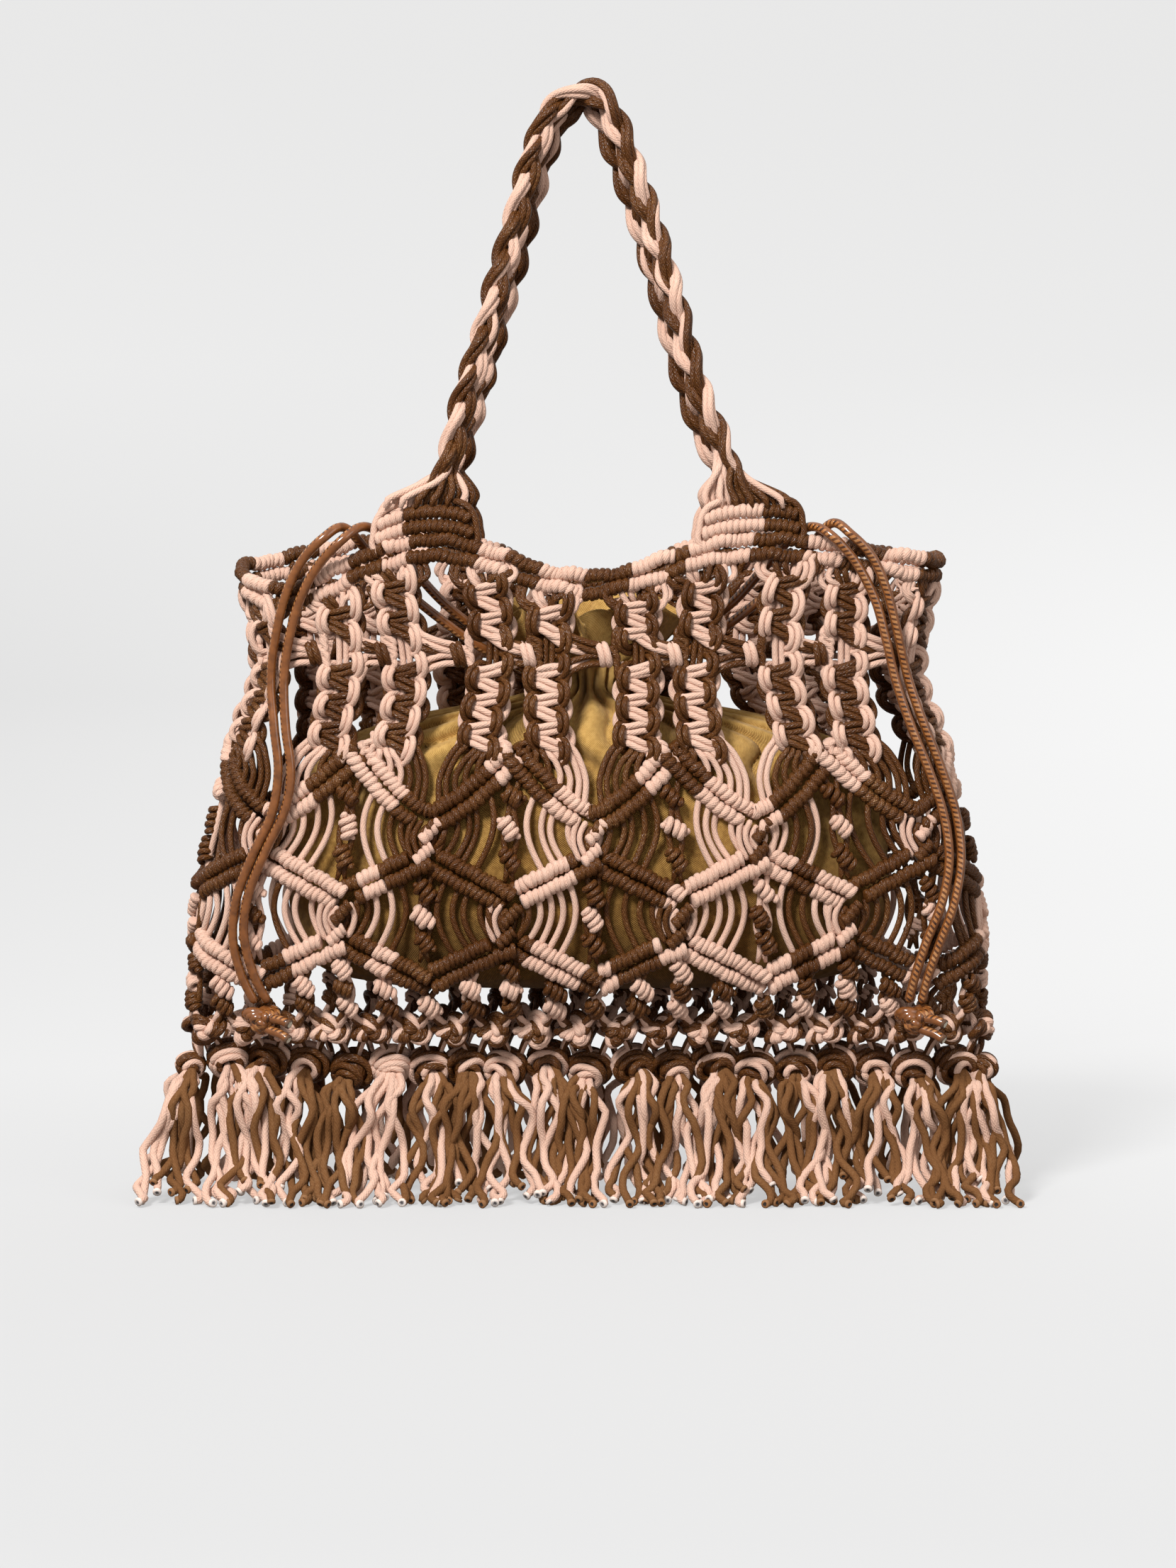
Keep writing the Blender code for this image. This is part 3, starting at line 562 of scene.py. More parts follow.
# Ribs: three double zigzags of wrapped rope that meet in two rows of stretched X
ribs = {
    "peak": 0.2135, "cross": 0.1737, "stretch": 0.0088, "lowCross": 0.135, "lowStretch": 0.0100,
    "bottom": 0.105, "curve": 1.4, "pair": 0.00365, "inner": 0.0026, "outer": 0.00365, "weave": 0.0018,
    # eight cords a strip, the first nearest the X; strips run right, then left, of each repeat's X
    "upper": {0: ("bbbbbppp", "pppppbbb"), 1: ("ppbbbbbb", "bbbbbppp"), 2: ("bbbbpppp", "bbbbbbpp"),
              3: ("bbbppppp", "ppppbbbb"), 4: ("bbbbbppp", "pppppbbb"), 5: ("ppbbbbbb", "bbbppppp"),
              6: ("ppppbbbb", "bbbbbppp"), 7: ("bbbbbppp", "bbbbbbbp"), 8: ("ppppbbbb", "bbbppppp"),
              9: ("bbbbbbpp", "ppppbbbb")},
    "middle": {0: ("pbbbbbbp", "pppppppb"), 1: ("pppbbppp", "bbbbbbbb"), 2: ("bbbbbbbp", "pppppbbb"),
               3: ("bbpppppp", "pbbbbbbb"), 4: ("pppppppb", "bbbbbbbb"), 5: ("bbbbbbpp", "pppppppp"),
               6: ("ppbbbbbb", "bbbbpppp"), 7: ("pppppbbb", "pbbbbbbb"), 8: ("pppppppp", "bbbbppbb"),
               9: ("bbbbbbbb", "bbpppppb")},
    # eight cords a strip, the first nearest the lower X; strips run left, then right, of that X
    "lower": {0: ("ppbbbbpp", "bppppppp"), 1: ("bppbbppp", "bbbbbbpp"), 2: ("ppbbbbbb", "pppppbbb"),
              3: ("bbbppppp", "bbbbbbbb"), 4: ("pppppbbb", "bbbppppp"), 5: ("bbbbbbbb", "ppbbbbpp"),
              6: ("bppppppp", "bbbbppbb"), 7: ("bbbbbbbb", "pppppppp"), 8: ("pppppbbb", "bbbppbbb"),
              9: ("bbbbbbbb", "bbpppppb")},
}


def repeatWidth(height):
    # metres along the wall that one repeat takes: the girth over the number of repeats
    return 4 * wallSection(height)[3] / wall["repeats"]


backBow = {"most": 0.0125, "from": 0.2125, "over": 0.094, "fade": 0.05}


def onNet(repeat, rows):
    # rows: share of the repeat, height, metres out from the wall's middle; at the back the upper
    # net bows sideways, as half a sine from the ribs to the rim, and shows in the front's gaps
    rows = np.asarray(rows, float)
    turn = turnOf(repeat, rows[..., 0])
    rise = np.clip((rows[..., 1] - backBow["from"]) / backBow["over"], 0, 1)
    atBack = np.clip((0.245 - np.abs(turn % 1.0 - 0.5)) / backBow["fade"], 0, 1)
    bow = backBow["most"] * np.sin(math.pi * rise) * atBack
    return toWall(turn, lastAxis(bow, rows[..., 1], rows[..., 2]))


def aroundSpot(repeat, share, height, spots):
    # spots: metres right, up and out of one place of the net
    right, up, out = np.asarray(spots, float).T
    return onNet(repeat, lastAxis(share + right / repeatWidth(height), height + up, out))


def stripHeight(kind, share):
    # middle line of a strip, a share of its way from its X
    share = np.asarray(share, float)
    if kind == "upper":
        foot = ribs["cross"] + ribs["stretch"]
        return foot + (ribs["peak"] - foot) * np.clip(share, 0, 2) ** ribs["curve"]
    if kind == "middle":
        top, foot = ribs["cross"] - ribs["stretch"], ribs["lowCross"] + ribs["lowStretch"]
        return top + (foot - top) * share
    top = ribs["lowCross"] - ribs["lowStretch"]
    return top + (ribs["bottom"] - top) * share


def strips():
    # kind, repeat, colours, share of the repeat at its X, and which way it runs from there
    for repeat in range(wall["repeats"]):
        for number, (start, way) in enumerate(((0.0, 1), (1.0, -1))):
            yield "upper", repeat, ribs["upper"][repeat][number], start, way
            yield "middle", repeat, ribs["middle"][repeat][number], start, way
        for number, way in enumerate((-1, 1)):
            yield "lower", repeat, ribs["lower"][repeat][number], 0.5, way


# where each of a strip's two ropes begins and ends, metres past the X and the far end:
# the upper strips' lower rope on the right hooks down over the crossing
ribEnds = {
    ("upper", 1, 1): (0.0016, 0.0005), ("upper", 1, -1): (0.0, 0.0005),
    ("upper", -1, 1): (0.0022, 0.0020), ("upper", -1, -1): (-0.0066, 0.0040),
    ("middle", 1, 1): (-0.0044, 0.0016), ("middle", 1, -1): (0.0010, 0.0),
    ("middle", -1, 1): (-0.0066, 0.0022), ("middle", -1, -1): (0.0016, -0.0066),
    ("lower", 1, 1): (-0.0044, 0.0016), ("lower", 1, -1): (0.0010, 0.0030),
    ("lower", -1, 1): (-0.0066, -0.0040), ("lower", -1, -1): (0.0016, -0.0020),
}


def ribPath(kind, repeat, start, way, side, first, last):
    # the strip's middle line, offset square to itself by half the pair's spacing
    def pathOf(share):
        along = first + (last - first) * share
        height = stripHeight(kind, along)
        climb = stripHeight(kind, along + 0.01) - stripHeight(kind, along - 0.01)
        slope = climb / 0.01 / repeatWidth(height)
        length = np.sqrt(1 + slope ** 2)
        lift = side * ribs["pair"] / length
        drift = -way * side * ribs["pair"] * slope / length
        ripple = 0.0003 * np.sin(along * 23 + repeat * 5 + side + start * 9)
        out = ribs["weave"] * (way if kind == "upper" else -way) * np.exp(-(along * 5) ** 2)
        out = out + ribs["weave"] * way * side * np.exp(-((1 - along) * 6) ** 2)
        share = start + way * along / 2 + drift / repeatWidth(height)
        return onNet(repeat, lastAxis(share, height + lift + ripple, out))
    return pathOf


def toneRuns(tones):
    # each run of one tone: the tone, where it begins and where it ends
    begin = 0
    for place in range(1, len(tones) + 1):
        if place == len(tones) or tones[place] != tones[begin]:
            yield tones[begin], begin, place
            begin = place


for kind, repeat, tones, start, way in strips():
    halfWidth = repeatWidth(stripHeight(kind, 0.5)) / 2
    for side in (-1, 1):
        early, late = (reach / halfWidth for reach in ribEnds[kind, way, side])
        for tone, first, last in toneRuns(tones):
            begin = first / 8 if first else -early
            finish = last / 8 if last < 8 else 1 + late
            if finish - begin < 0.05:
                continue
            pathOf = ribPath(kind, repeat, start, way, side, begin, finish)
            wraps = max(1, round((finish - begin) * 16))
            wrappedRope("ribs_" + kind, tone, pathOf, wraps, ribs["inner"], ribs["outer"])

# the short ropes stacked in each X, upper right to lower left: spots right and up, and one distance out
crossings = {
    "nubs": (((0.0056, 0.0080), (0.0032, 0.0050), (0.0006, 0.0020), (-0.0023, -0.0012), 0.0024),
             ((0.0030, -0.0036), (0.0008, -0.0056), (-0.0016, -0.0082), (-0.0045, -0.0112), 0.0020)),
    "wraps": 4, "tones": "pbbppbpbpbbppbpbpb", "inner": 0.0021, "outer": 0.0030, "loopCord": 0.0014,
    # short cords that curve round each X, left and right of its nubs
    "loops": (((-0.0062, 0.0105), (-0.0088, 0.0040), (-0.0088, -0.0030), (-0.0060, -0.0100), 0.0002),
              ((-0.0030, 0.0085), (-0.0058, 0.0030), (-0.0058, -0.0020), (-0.0034, -0.0080), 0.0008),
              ((-0.0002, 0.0060), (-0.0026, 0.0024), (-0.0026, -0.0014), (-0.0008, -0.0056), 0.0004),
              ((0.0050, 0.0080), (0.0074, 0.0020), (0.0068, -0.0030), (0.0042, -0.0086), 0.0002)),
}
for repeat in range(wall["repeats"]):
    for row, (share, middle) in enumerate(((0.0, ribs["cross"]), (0.5, ribs["lowCross"]))):
        for number, nub in enumerate(crossings["nubs"]):
            spots = [(*spot, nub[-1]) for spot in nub[:-1]]
            curve = throughPoints(aroundSpot(repeat, share, middle, spots), 60)

            def pathOf(part, curve=curve):
                return pointsAt(part, np.linspace(0, 1, 60), curve)
            tone = crossings["tones"][(repeat * 2 + row * 7 + number * 3) % 18]
            wrappedRope("ribs_middle", tone, pathOf, crossings["wraps"],
                        crossings["inner"], crossings["outer"])
        for number, loop in enumerate(crossings["loops"]):
            spots = [(*spot, loop[-1]) for spot in loop[:-1]]
            tone = crossings["tones"][(repeat * 3 + row * 5 + number // 2) % 18]
            path = throughPoints(aroundSpot(repeat, share, middle, spots), 14)
            cords("arcs", path, tone, crossings["loopCord"])

# Arcs: the cords between the ribs, bowed towards the middle of each window
arcs = {"cord": 0.0015, "bow": 0.15, "lean": 0.10, "top": 0.0050, "foot": 0.0048, "count": 6}
steps = np.linspace(0, 1, 17)
for above, below in (("upper", "middle"), ("middle", "lower")):
    for repeat in range(wall["repeats"]):
        for number, way in enumerate((1, -1)):
            first = above == "upper"
            start = (0.0 if way > 0 else 1.0) if first else 0.5
            tones = ribs[below][repeat][number if first else 1 - number]
            for cord in range(arcs["count"]):
                begin = (cord + 0.5) / 8 + 0.02 * rng.standard_normal()
                to = max(0.03, begin - arcs["lean"])
                high = stripHeight(above, begin if first else 1 - begin) - arcs["top"]
                low = stripHeight(below, to) + arcs["foot"]
                bow = arcs["bow"] * (high - low) * (0.9 + 0.25 * rng.random())
                along = begin + (to - begin) * steps
                height = high + (low - high) * steps
                bowed = bow * np.sin(math.pi * steps ** 0.9) / repeatWidth(height)
                out = -0.0012 + 0.0012 * np.sin(math.pi * steps) * rng.standard_normal()
                rows = lastAxis(start + way * (along / 2 + bowed), height, out)
                cords("arcs", onNet(repeat, rows), tones[cord], arcs["cord"])

# Berry chains: short coils, one under another, down the middle of the windows and below the ribs
berries = {
    "cord": 0.00158, "radius": 0.0025, "turns": 3.7, "length": 0.0104, "tilt": math.radians(50),
    "windowPitch": 0.0132, "lowPitch": 0.0096, "core": 0.0015, "fullPitch": 0.0105, "waist": 0.34,
    # top and foot of the chains in the two rows of windows
    "windows": ((0.2005, 0.1570), (0.1545, 0.1185)),
    "tones": ("bpb", "bpb", "pbb", "bpp", "bpb", "pbp", "bbp", "pbb", "bpb", "bpb",
              "bpb", "pbb", "bpb", "bbp", "pbp", "bpb", "ppb", "bpb", "pbp", "bpb"),
}


def berryChain(piece, repeat, share, top, foot, pitch, tones):
    # each coil is a helix about an axis that leans down to the right, narrower at its ends
    count = max(1, round((top - foot) / pitch))
    turns = np.linspace(0, 1, round(berries["turns"] * 12) + 1)
    for row in range(count):
        middle = top + (foot - top) * (row + 0.5) / count
        tone = tones[row % len(tones)]
        waist = 1 - berries["waist"] * np.abs(2 * turns - 1) ** 4
        radius = berries["radius"] * waist * (0.90 + 0.3 * rng.random())
        size = min(1.08, pitch / berries["fullPitch"]) * (0.86 + 0.28 * rng.random())
        tilt = berries["tilt"] + 0.22 * rng.standard_normal()
        lean = np.array((math.cos(tilt), -math.sin(tilt), 0.0))
        upright = np.array((math.sin(tilt), math.cos(tilt), 0.0))
        angle = turnAngle * berries["turns"] * turns + rng.random() * 6
        spots = ((turns - 0.5) * berries["length"] * size)[:, None] * lean
        spots = spots + (radius * np.cos(angle))[:, None] * upright
        spots[:, 2] += radius * np.sin(angle) + 0.0006
        spots[:, 0] += 0.0009 * rng.standard_normal() + 0.0004 * np.sin(angle * 0.5)
        cords(piece, aroundSpot(repeat, share, middle, spots), tone, berries["cord"])
    for side in (-1, 1):
        heights = np.linspace(top + 0.004, foot - 0.004, 12)
        sway = side * 0.0020 + 0.0012 * np.sin(np.linspace(0, 11, 12) + side * 1.5)
        place = lastAxis(share + sway / repeatWidth(heights), heights, -0.0014)
        cords(piece, onNet(repeat, place), tones[(row + 1) % len(tones)], berries["core"])


for repeat in range(wall["repeats"]):
    for row, share in enumerate((0.5, 0.0)):
        berryChain("chains", repeat, share, *berries["windows"][row], berries["windowPitch"],
                   berries["tones"][10 * row + repeat])
for kind in ("upper", "middle", "lower"):
    finishCords("ribs_" + kind, "net_diamonds")
finishCords("arcs", "net_diamonds")
finishCords("chains", "net_diamonds")
print("ribs made")

# Sinnets: twisted pairs that swing from side to side, one pair in front where it crosses the other
sinnets = {
    "shares": (0.29, 0.71), "bar": 0.0092, "barMiddle": 0.0006, "barOut": 0.0016, "barCord": 0.00160,
    "loop": 0.0079, "loopMiddle": 0.0, "loopOut": 0.0040, "loopCord": 0.00150,
    "pitch": 0.0067, "upperPitch": 0.0070, "barCurl": 2.5, "loopCurl": 3.4, "shear": 0.14,
    "sway": 0.0016, "core": 0.0015, "coreApart": 0.0016, "link": 0.259, "foot": 0.2125,
    # metres from the rim to the top, from the link to the sinnets either side, and up from the foot
    "headDrop": 0.0115, "aboveLink": 0.007, "belowLink": 0.0045, "aboveFoot": 0.002,
    "loopTones": "bpppbbpppb",
    # the head's pairs: metres right, up from the rim and out, for the outer bends and the inner
    "outerHead": ((0.0120, -0.0020, -0.0010), (0.0138, -0.0085, 0.0010), (0.0108, -0.0128, 0.0020),
                  (0.0045, -0.0150, -0.0004), (-0.0020, -0.0180, -0.0032)),
    "innerHead": ((0.0056, -0.0020, -0.0010), (0.0052, -0.0075, 0.0010), (0.0034, -0.0110, 0.0012),
                  (0.0010, -0.0150, -0.0012), (-0.0010, -0.0185, -0.0034)),
}


def sinnetRun(repeat, share, top, foot, pitch):
    # each pair swings as a cosine, curls back in height as a sine, and comes out as a cosine twice as fast
    count = max(1, round((top - foot) / pitch))
    place = (repeat + share) % wall["repeats"]
    lean = sinnets["sway"]
    loopTone = sinnets["loopTones"][repeat]
    barTone = "b" if loopTone == "p" else "p"
    for kind, way, tone, more in (("bar", -1, barTone, 0.0), ("loop", 1, loopTone, 0.44)):
        t = np.linspace(-more, count + more, 18 * count + 17)
        jitter = 0.0006 * np.sin(t * 2.3 + repeat)
        curled = t + sinnets[kind + "Curl"] / turnAngle * np.sin(turnAngle * t)
        height = top - (top - foot) / count * curled
        height = height + 0.0003 * np.sin(t * 3.1 + repeat * 2)
        sway = lean * np.sin(place * 4.3 + (sinnets["link"] - height) * 62)
        across = sinnets[kind + "Middle"] + way * sinnets[kind] * np.cos(math.pi * t) + jitter + sway
        sheared = height - (sinnets["shear"] * across if kind == "bar" else 0)
        slope = unit(lastAxis(np.gradient(across), np.gradient(sheared)))
        # the pair lies side by side: apart in the middle of a bar, closed up where it turns
        apart = 0.62 + 0.34 * np.sin(math.pi * t) ** 2 if kind == "bar" else 0.92
        apart = sinnets[kind + "Cord"] * apart
        for side in (-1, 1):
            sideways = across - side * apart * slope[:, 1]
            level = sheared + side * apart * slope[:, 0]
            depth = way * sinnets[kind + "Out"] * np.cos(turnAngle * t) + 0.0004 * side
            rows = lastAxis(share + sideways / repeatWidth(level), level, depth)
            cords("sinnets", onNet(repeat, rows), tone, sinnets[kind + "Cord"])
    # two core cords run on past the link, from the upper sinnet to the lower
    above, below = (0.004, 0.012) if foot > sinnets["foot"] + 0.01 else (0.010, 0.006)
    heights = np.linspace(top + above, foot - below, 12)
    sway = lean * np.sin(place * 4.3 + (sinnets["link"] - heights) * 62)
    for side in (-1, 1):
        across = (sinnets["barMiddle"] + side * sinnets["coreApart"] + sway) / repeatWidth(heights)
        rows = lastAxis(share + across, heights, -0.001)
        cords("sinnets", onNet(repeat, rows), loopTone, sinnets["core"])
    return loopTone, barTone


for repeat in range(wall["repeats"]):
    for share in sinnets["shares"]:
        rimFoot = float(rimHeight(turnOf(repeat, share)))
        loopTone, barTone = sinnetRun(repeat, share, rimFoot - sinnets["headDrop"],
                                      sinnets["link"] + sinnets["aboveLink"], sinnets["upperPitch"])
        sinnetRun(repeat, share, sinnets["link"] - sinnets["belowLink"],
                  sinnets["foot"] + sinnets["aboveFoot"], sinnets["pitch"])
        # four pairs gather from the rim into the sinnet's head, the outer two in wide bends
        for cord in range(8):
            side = -1 if cord < 4 else 1
            beside = 0.0014 * (1 if cord % 2 else -1)
            bend = sinnets["outerHead"] if cord in (0, 1, 6, 7) else sinnets["innerHead"]
            rows = np.array(bend) + 0.0006 * rng.standard_normal(3)
            rows[:, 0] = side * rows[:, 0] + beside * np.array((1, 1, 0.4, 0, 0))
            rows[:, 1] += rimFoot + beside * np.array((0, 0, 0.9, 1, 1))
            rows[:, 0] = share + rows[:, 0] / repeatWidth(rows[:, 1])
            tone = loopTone if cord in (0, 1, 4, 5) else barTone
            cords("sinnets", throughPoints(onNet(repeat, rows), 18), tone, sinnets["core"])

# Links: between neighbouring sinnets two pairs cross, bound by an upright double ring
links = {
    # an elbow of the sinnet's own cords: down to the right, round behind the link, and back below
    "elbow": ((-0.0010, 0.0112, 0.0000), (0.0050, 0.0064, 0.0016), (0.0110, 0.0034, 0.0030),
              (0.0160, 0.0014, 0.0010), (0.0166, -0.0016, -0.0022), (0.0110, -0.0040, 0.0012),
              (0.0040, -0.0066, 0.0020), (-0.0070, -0.0098, 0.0004)),
    "elbowApart": (1, 1, 0.9, 0.5, -0.5, -0.9, -1, -1), "elbowCord": 0.0015, "apart": 0.00125,
    "cord": 0.0016, "place": 0.63, "ringHigh": 0.0046, "ringDeep": 0.0036, "ringCord": 0.00172,
    "ringTilt": 0.0012, "ringApart": 0.00142,
}
middleGap = sinnets["shares"][1] - sinnets["shares"][0]
for number in range(2 * wall["repeats"]):
    repeat, share = number // 2, sinnets["shares"][number % 2]
    reach = (1 - middleGap if number % 2 else middleGap) * float(repeatWidth(sinnets["link"]))
    ring = links["place"] * reach
    strandTone = sinnets["loopTones"][repeat]
    ringTone = "p" if strandTone == "b" else "b"
    routes = (
        ((0.0062, 0.0130, 0.0015), (0.0085, 0.0082, 0.0028), (ring - 0.008, 0.0044, 0.0026),
         (ring, 0.0019, 0.0006), (ring + 0.006, -0.0024, 0.0012), (reach - 0.0080, -0.0070, 0.0006),
         (reach - 0.0050, -0.0130, -0.0010)),
        ((reach - 0.0062, 0.0130, 0.0004), (reach - 0.0095, 0.0078, 0.0014), (ring + 0.006, 0.0034, 0.0010),
         (ring, -0.0019, 0.0004), (ring - 0.007, -0.0026, 0.0014), (0.0095, -0.0058, 0.0018),
         (0.0070, -0.0110, 0.0010)),
    )
    here = (repeat, share, sinnets["link"])
    for route in routes:
        for side in (-1, 1):
            spots = np.array(route)
            spots[:, 1] += side * (links["apart"] + 0.0002 * np.arange(len(spots)))
            cords("links", throughPoints(aroundSpot(*here, spots), 34), strandTone, links["cord"])
    for side in (-1, 1):
        spots = np.array(links["elbow"])
        spots[:, 1] += side * links["apart"] * np.array(links["elbowApart"])
        spots[:, 0] += side * 0.0007
        cords("links", throughPoints(aroundSpot(*here, spots), 36), ringTone, links["elbowCord"])
    # the ring is an ellipse, a little aslant
    angle = np.linspace(0, turnAngle * 1.02, 27)
    for side in (-1, 1):
        across = ring + side * links["ringApart"] - links["ringTilt"] * np.cos(angle)
        spots = lastAxis(across + 0.0006 * np.sin(angle), links["ringHigh"] * np.cos(angle),
                         links["ringDeep"] * np.sin(angle))
        cords("links", aroundSpot(*here, spots), ringTone, links["ringCord"])

# Fans: eight cords spread from each sinnet's foot to its strip of the ribs
fans = {"cord": 0.0015, "starts": (0.0085, 0.0070, 0.0040, 0.0015, -0.0015, -0.0050, -0.0080, -0.0085),
        "startHeights": (0.0065, 0.0045, 0.0010, 0.0, 0.0, 0.0005, 0.0045, 0.0060),
        "ends": (0.11, 0.20, 0.31, 0.43, 0.57, 0.70, 0.82, 0.93)}
for repeat in range(wall["repeats"]):
    for number, share in enumerate(sinnets["shares"]):
        towards = -1 if number == 0 else 1
        corner = 0.0 if number == 0 else 1.0
        tones = ribs["upper"][repeat][number]
        for cord in range(8):
            along = fans["ends"][cord]
            endHeight = float(stripHeight("upper", along)) + 0.0052
            endShare = corner - towards * along / 2
            startHeight = sinnets["foot"] + fans["startHeights"][cord]
            startShare = share + towards * fans["starts"][cord] / float(repeatWidth(startHeight))
            if cord > 5 and endHeight > startHeight - 0.004:
                startHeight = endHeight + 0.003
            fall = startHeight - endHeight
            bow = towards * 0.02 * (1 if cord < 5 else -1) * min(1.0, abs(fall) / 0.02)
            drift = endShare - startShare
            rows = (
                (startShare - towards * 0.03, startHeight + 0.004, -0.001),
                (startShare, startHeight, 0.0014),
                (startShare + drift * 0.55 + bow * 0.5, startHeight - fall * 0.22, 0.0014),
                (startShare + drift * 0.93 + bow, startHeight - fall * 0.60, 0.0008),
                (endShare, endHeight, 0.0004), (endShare - towards * 0.008, endHeight - 0.0040, 0.0))
            cords("fans", throughPoints(onNet(repeat, rows), 24), tones[cord], fans["cord"])
for piece in ("sinnets", "links", "fans"):
    finishCords(piece, "net_upper")
print("upper net made")

# Lower net: berry chains from the ribs' underside to a row of small knots
lowNet = {"shares": (0.02, 0.27, 0.52, 0.77), "knotShares": (0.145, 0.395, 0.645, 0.895),
          "chainTop": 0.0085, "chainFoot": 0.0885, "knotHeight": 0.0808,
          "knotSize": (0.0088, 0.0064, 0.0028), "cord": 0.00185, "joinCord": 0.00155,
          "knotTones": ("pbb", "bpb", "bbp", "ppb", "bpp", "pbp", "bpb")}
knotHeight = lowNet["knotHeight"]


def ringsOn(centre, axis, size, cord, tones):
    # circles about an axis on an ellipsoid, each at its own angle from the pole and drifting a little
    axis = unit(np.asarray(axis, float))
    side = unit(np.cross(axis, (0.0, 0.0, 1.0)))
    top = np.cross(side, axis)
    circle = np.linspace(0, turnAngle * 1.03, 27)
    for number, angle in enumerate(fringe["rings"]):
        spin = rng.random() * turnAngle
        polar = angle + fringe["tuck"] * np.sin(circle + spin)
        lift = 1 + 0.06 * np.cos(2 * circle + spin)
        ball = (np.cos(polar)[:, None] * axis + (np.sin(polar) * np.cos(circle))[:, None] * side
                + (np.sin(polar) * np.sin(circle))[:, None] * top)
        cords("fringeKnots", centre + ball * size * lift[:, None], tones[number % len(tones)], cord)


def knotCore(piece, centre, axis, size, tone):
    # a stout round plug along the knot's axis fills it under its turns
    share = np.linspace(-1, 1, 9)
    path = centre + unit(axis) * (share * 0.72 * size)[:, None]
    cords(piece, path, tone, size * np.sqrt(1.06 - share ** 2)[None] * 0.86, 12)


def overhand(piece, centre, right, out, knotSize, cord, tones, spin):
    # cords tied as a flat trefoil: sin t + 2 sin 2t across, cos t - 2 cos 2t up, sin 3t deep
    t = np.linspace(0, turnAngle * 1.015, 60)
    tall = knotSize[1] * rng.uniform(0.92, 1.10)
    for number, tone in enumerate(tones):
        size = (1.0, 0.74, 0.46)[number]
        x = (np.sin(t) + 2 * np.sin(2 * t)) / 3 * size
        z = (np.cos(t) - 2 * np.cos(2 * t)) / 3 * size
        turned = spin + 0.25 * number
        across = (x * math.cos(turned) - z * math.sin(turned)) * knotSize[0]
        rise = (x * math.sin(turned) + z * math.cos(turned)) * tall
        deep = knotSize[2] * np.sin(3 * t) + (0.0, 0.0008, 0.0018)[number]
        path = centre + across[:, None] * right + deep[:, None] * out
        path[:, 2] += rise
        cords(piece, path, tone, cord)


for repeat in range(wall["repeats"]):
    for number, share in enumerate(lowNet["shares"]):
        place = abs(share - 0.5) * 2
        top = float(stripHeight("lower", place)) - lowNet["chainTop"]
        tones = berries["tones"][(repeat * 3 + number * 7) % 20]
        berryChain("lowChains", repeat, share, top, lowNet["chainFoot"], berries["lowPitch"], tones)
    for number, share in enumerate(lowNet["knotShares"]):
        centre, right, out = onNet(repeat, ((share, knotHeight, 0.0), (share + 0.02, knotHeight, 0.0),
                                            (share, knotHeight, 0.004)))
        tones = lowNet["knotTones"][(repeat * 4 + number) % 7]
        overhand("smallKnots", centre, unit(right - centre), unit(out - centre), lowNet["knotSize"],
                 lowNet["cord"], tones, (repeat * 5 + number * 3) * 0.71)
        # cords from the two chains above come in behind it, and leave for the big knots below
        for side in (-1, 1):
            for cord in (0, 1):
                above = ((share + side * 0.115, lowNet["chainFoot"] + 0.003, -0.0005),
                         (share + side * 0.085, lowNet["chainFoot"] - 0.0005 - cord * 0.0025, 0.0008),
                         (share + side * 0.045, knotHeight + 0.0025 - cord * 0.0025, -0.0010),
                         (share, knotHeight, -0.0028))
                below = ((share, knotHeight - 0.002, -0.0028),
                         (share + side * 0.03, 0.0775 - cord * 0.001, -0.0012),
                         (share + side * 0.065, 0.0725 - cord * 0.001, -0.0020),
                         (share + side * 0.10, 0.0650, -0.0050))
                for rows, tones in ((above, "pb"), (below, "bp")):
                    path = throughPoints(onNet(repeat, rows), 12)
                    cords("smallKnots", path, tones[(cord + number) % 2], lowNet["joinCord"])
finishCords("lowChains", "net_lower")
finishCords("smallKnots", "net_lower")
print("lower net made")

# Handles: three strands of four cords plaited over the CAD handle's line, opening out on the tabs
handle = {
    "height": 0.5285, "reach": 0.0755, "width": 0.0148, "setback": 0.0052,
    "backDrop": 0.004, "backInset": 0.0035,
    "left": ((0.000, 0.985), (0.060, 0.880), (0.230, 0.775), (0.390, 0.655), (0.545, 0.545),
             (0.680, 0.450), (0.810, 0.365), (0.905, 0.285), (0.970, 0.190)),
    "right": ((0.000, 0.985), (0.060, 0.890), (0.155, 0.800), (0.240, 0.710), (0.360, 0.615),
              (0.490, 0.530), (0.610, 0.445), (0.730, 0.350), (0.855, 0.240), (0.960, 0.130)),
    "swing": 0.0034, "depth": 0.0026, "period": 0.056, "turned": math.radians(30), "cord": 0.00162,
    "bundle": 0.0017, "open": 0.024, "footWidth": 0.039, "tones": ("pppp", "bbbb", "bbpb"),
    "spacing": 0.0016,
}


def handleLine(sideY):
    # up one leg, over the top and down the other, from the tab's middle line, leaning in to the setback
    turn = float(frontTurn(handle["reach"]))
    turn = turn if sideY < 0 else 0.5 - turn
    foot = float(rimHeight(turn)) + rim["rope"] + 0.0140
    back = sideY > 0
    inset = handle["backInset"] * back
    top = handle["height"] - handle["width"] / 2 - handle["backDrop"] * back - 0.0015
    startY = float(wallPoint(turn, wall["mouth"])[1])
    points = []
    for sideX, leg in ((-1, handle["left"]), (1, tuple(reversed(handle["right"])))):
        for rise, reach in leg:
            lean = startY + (sideY * handle["setback"] - startY) * min(1.0, rise * 1.15)
            points.append((sideX * (reach * handle["reach"] - inset * min(1.0, rise / 0.1)), lean,
                           foot + rise * (top - foot)))
        if sideX < 0:
            points.append((0.0, sideY * handle["setback"], top))
    return evenPath(points, handle["spacing"])


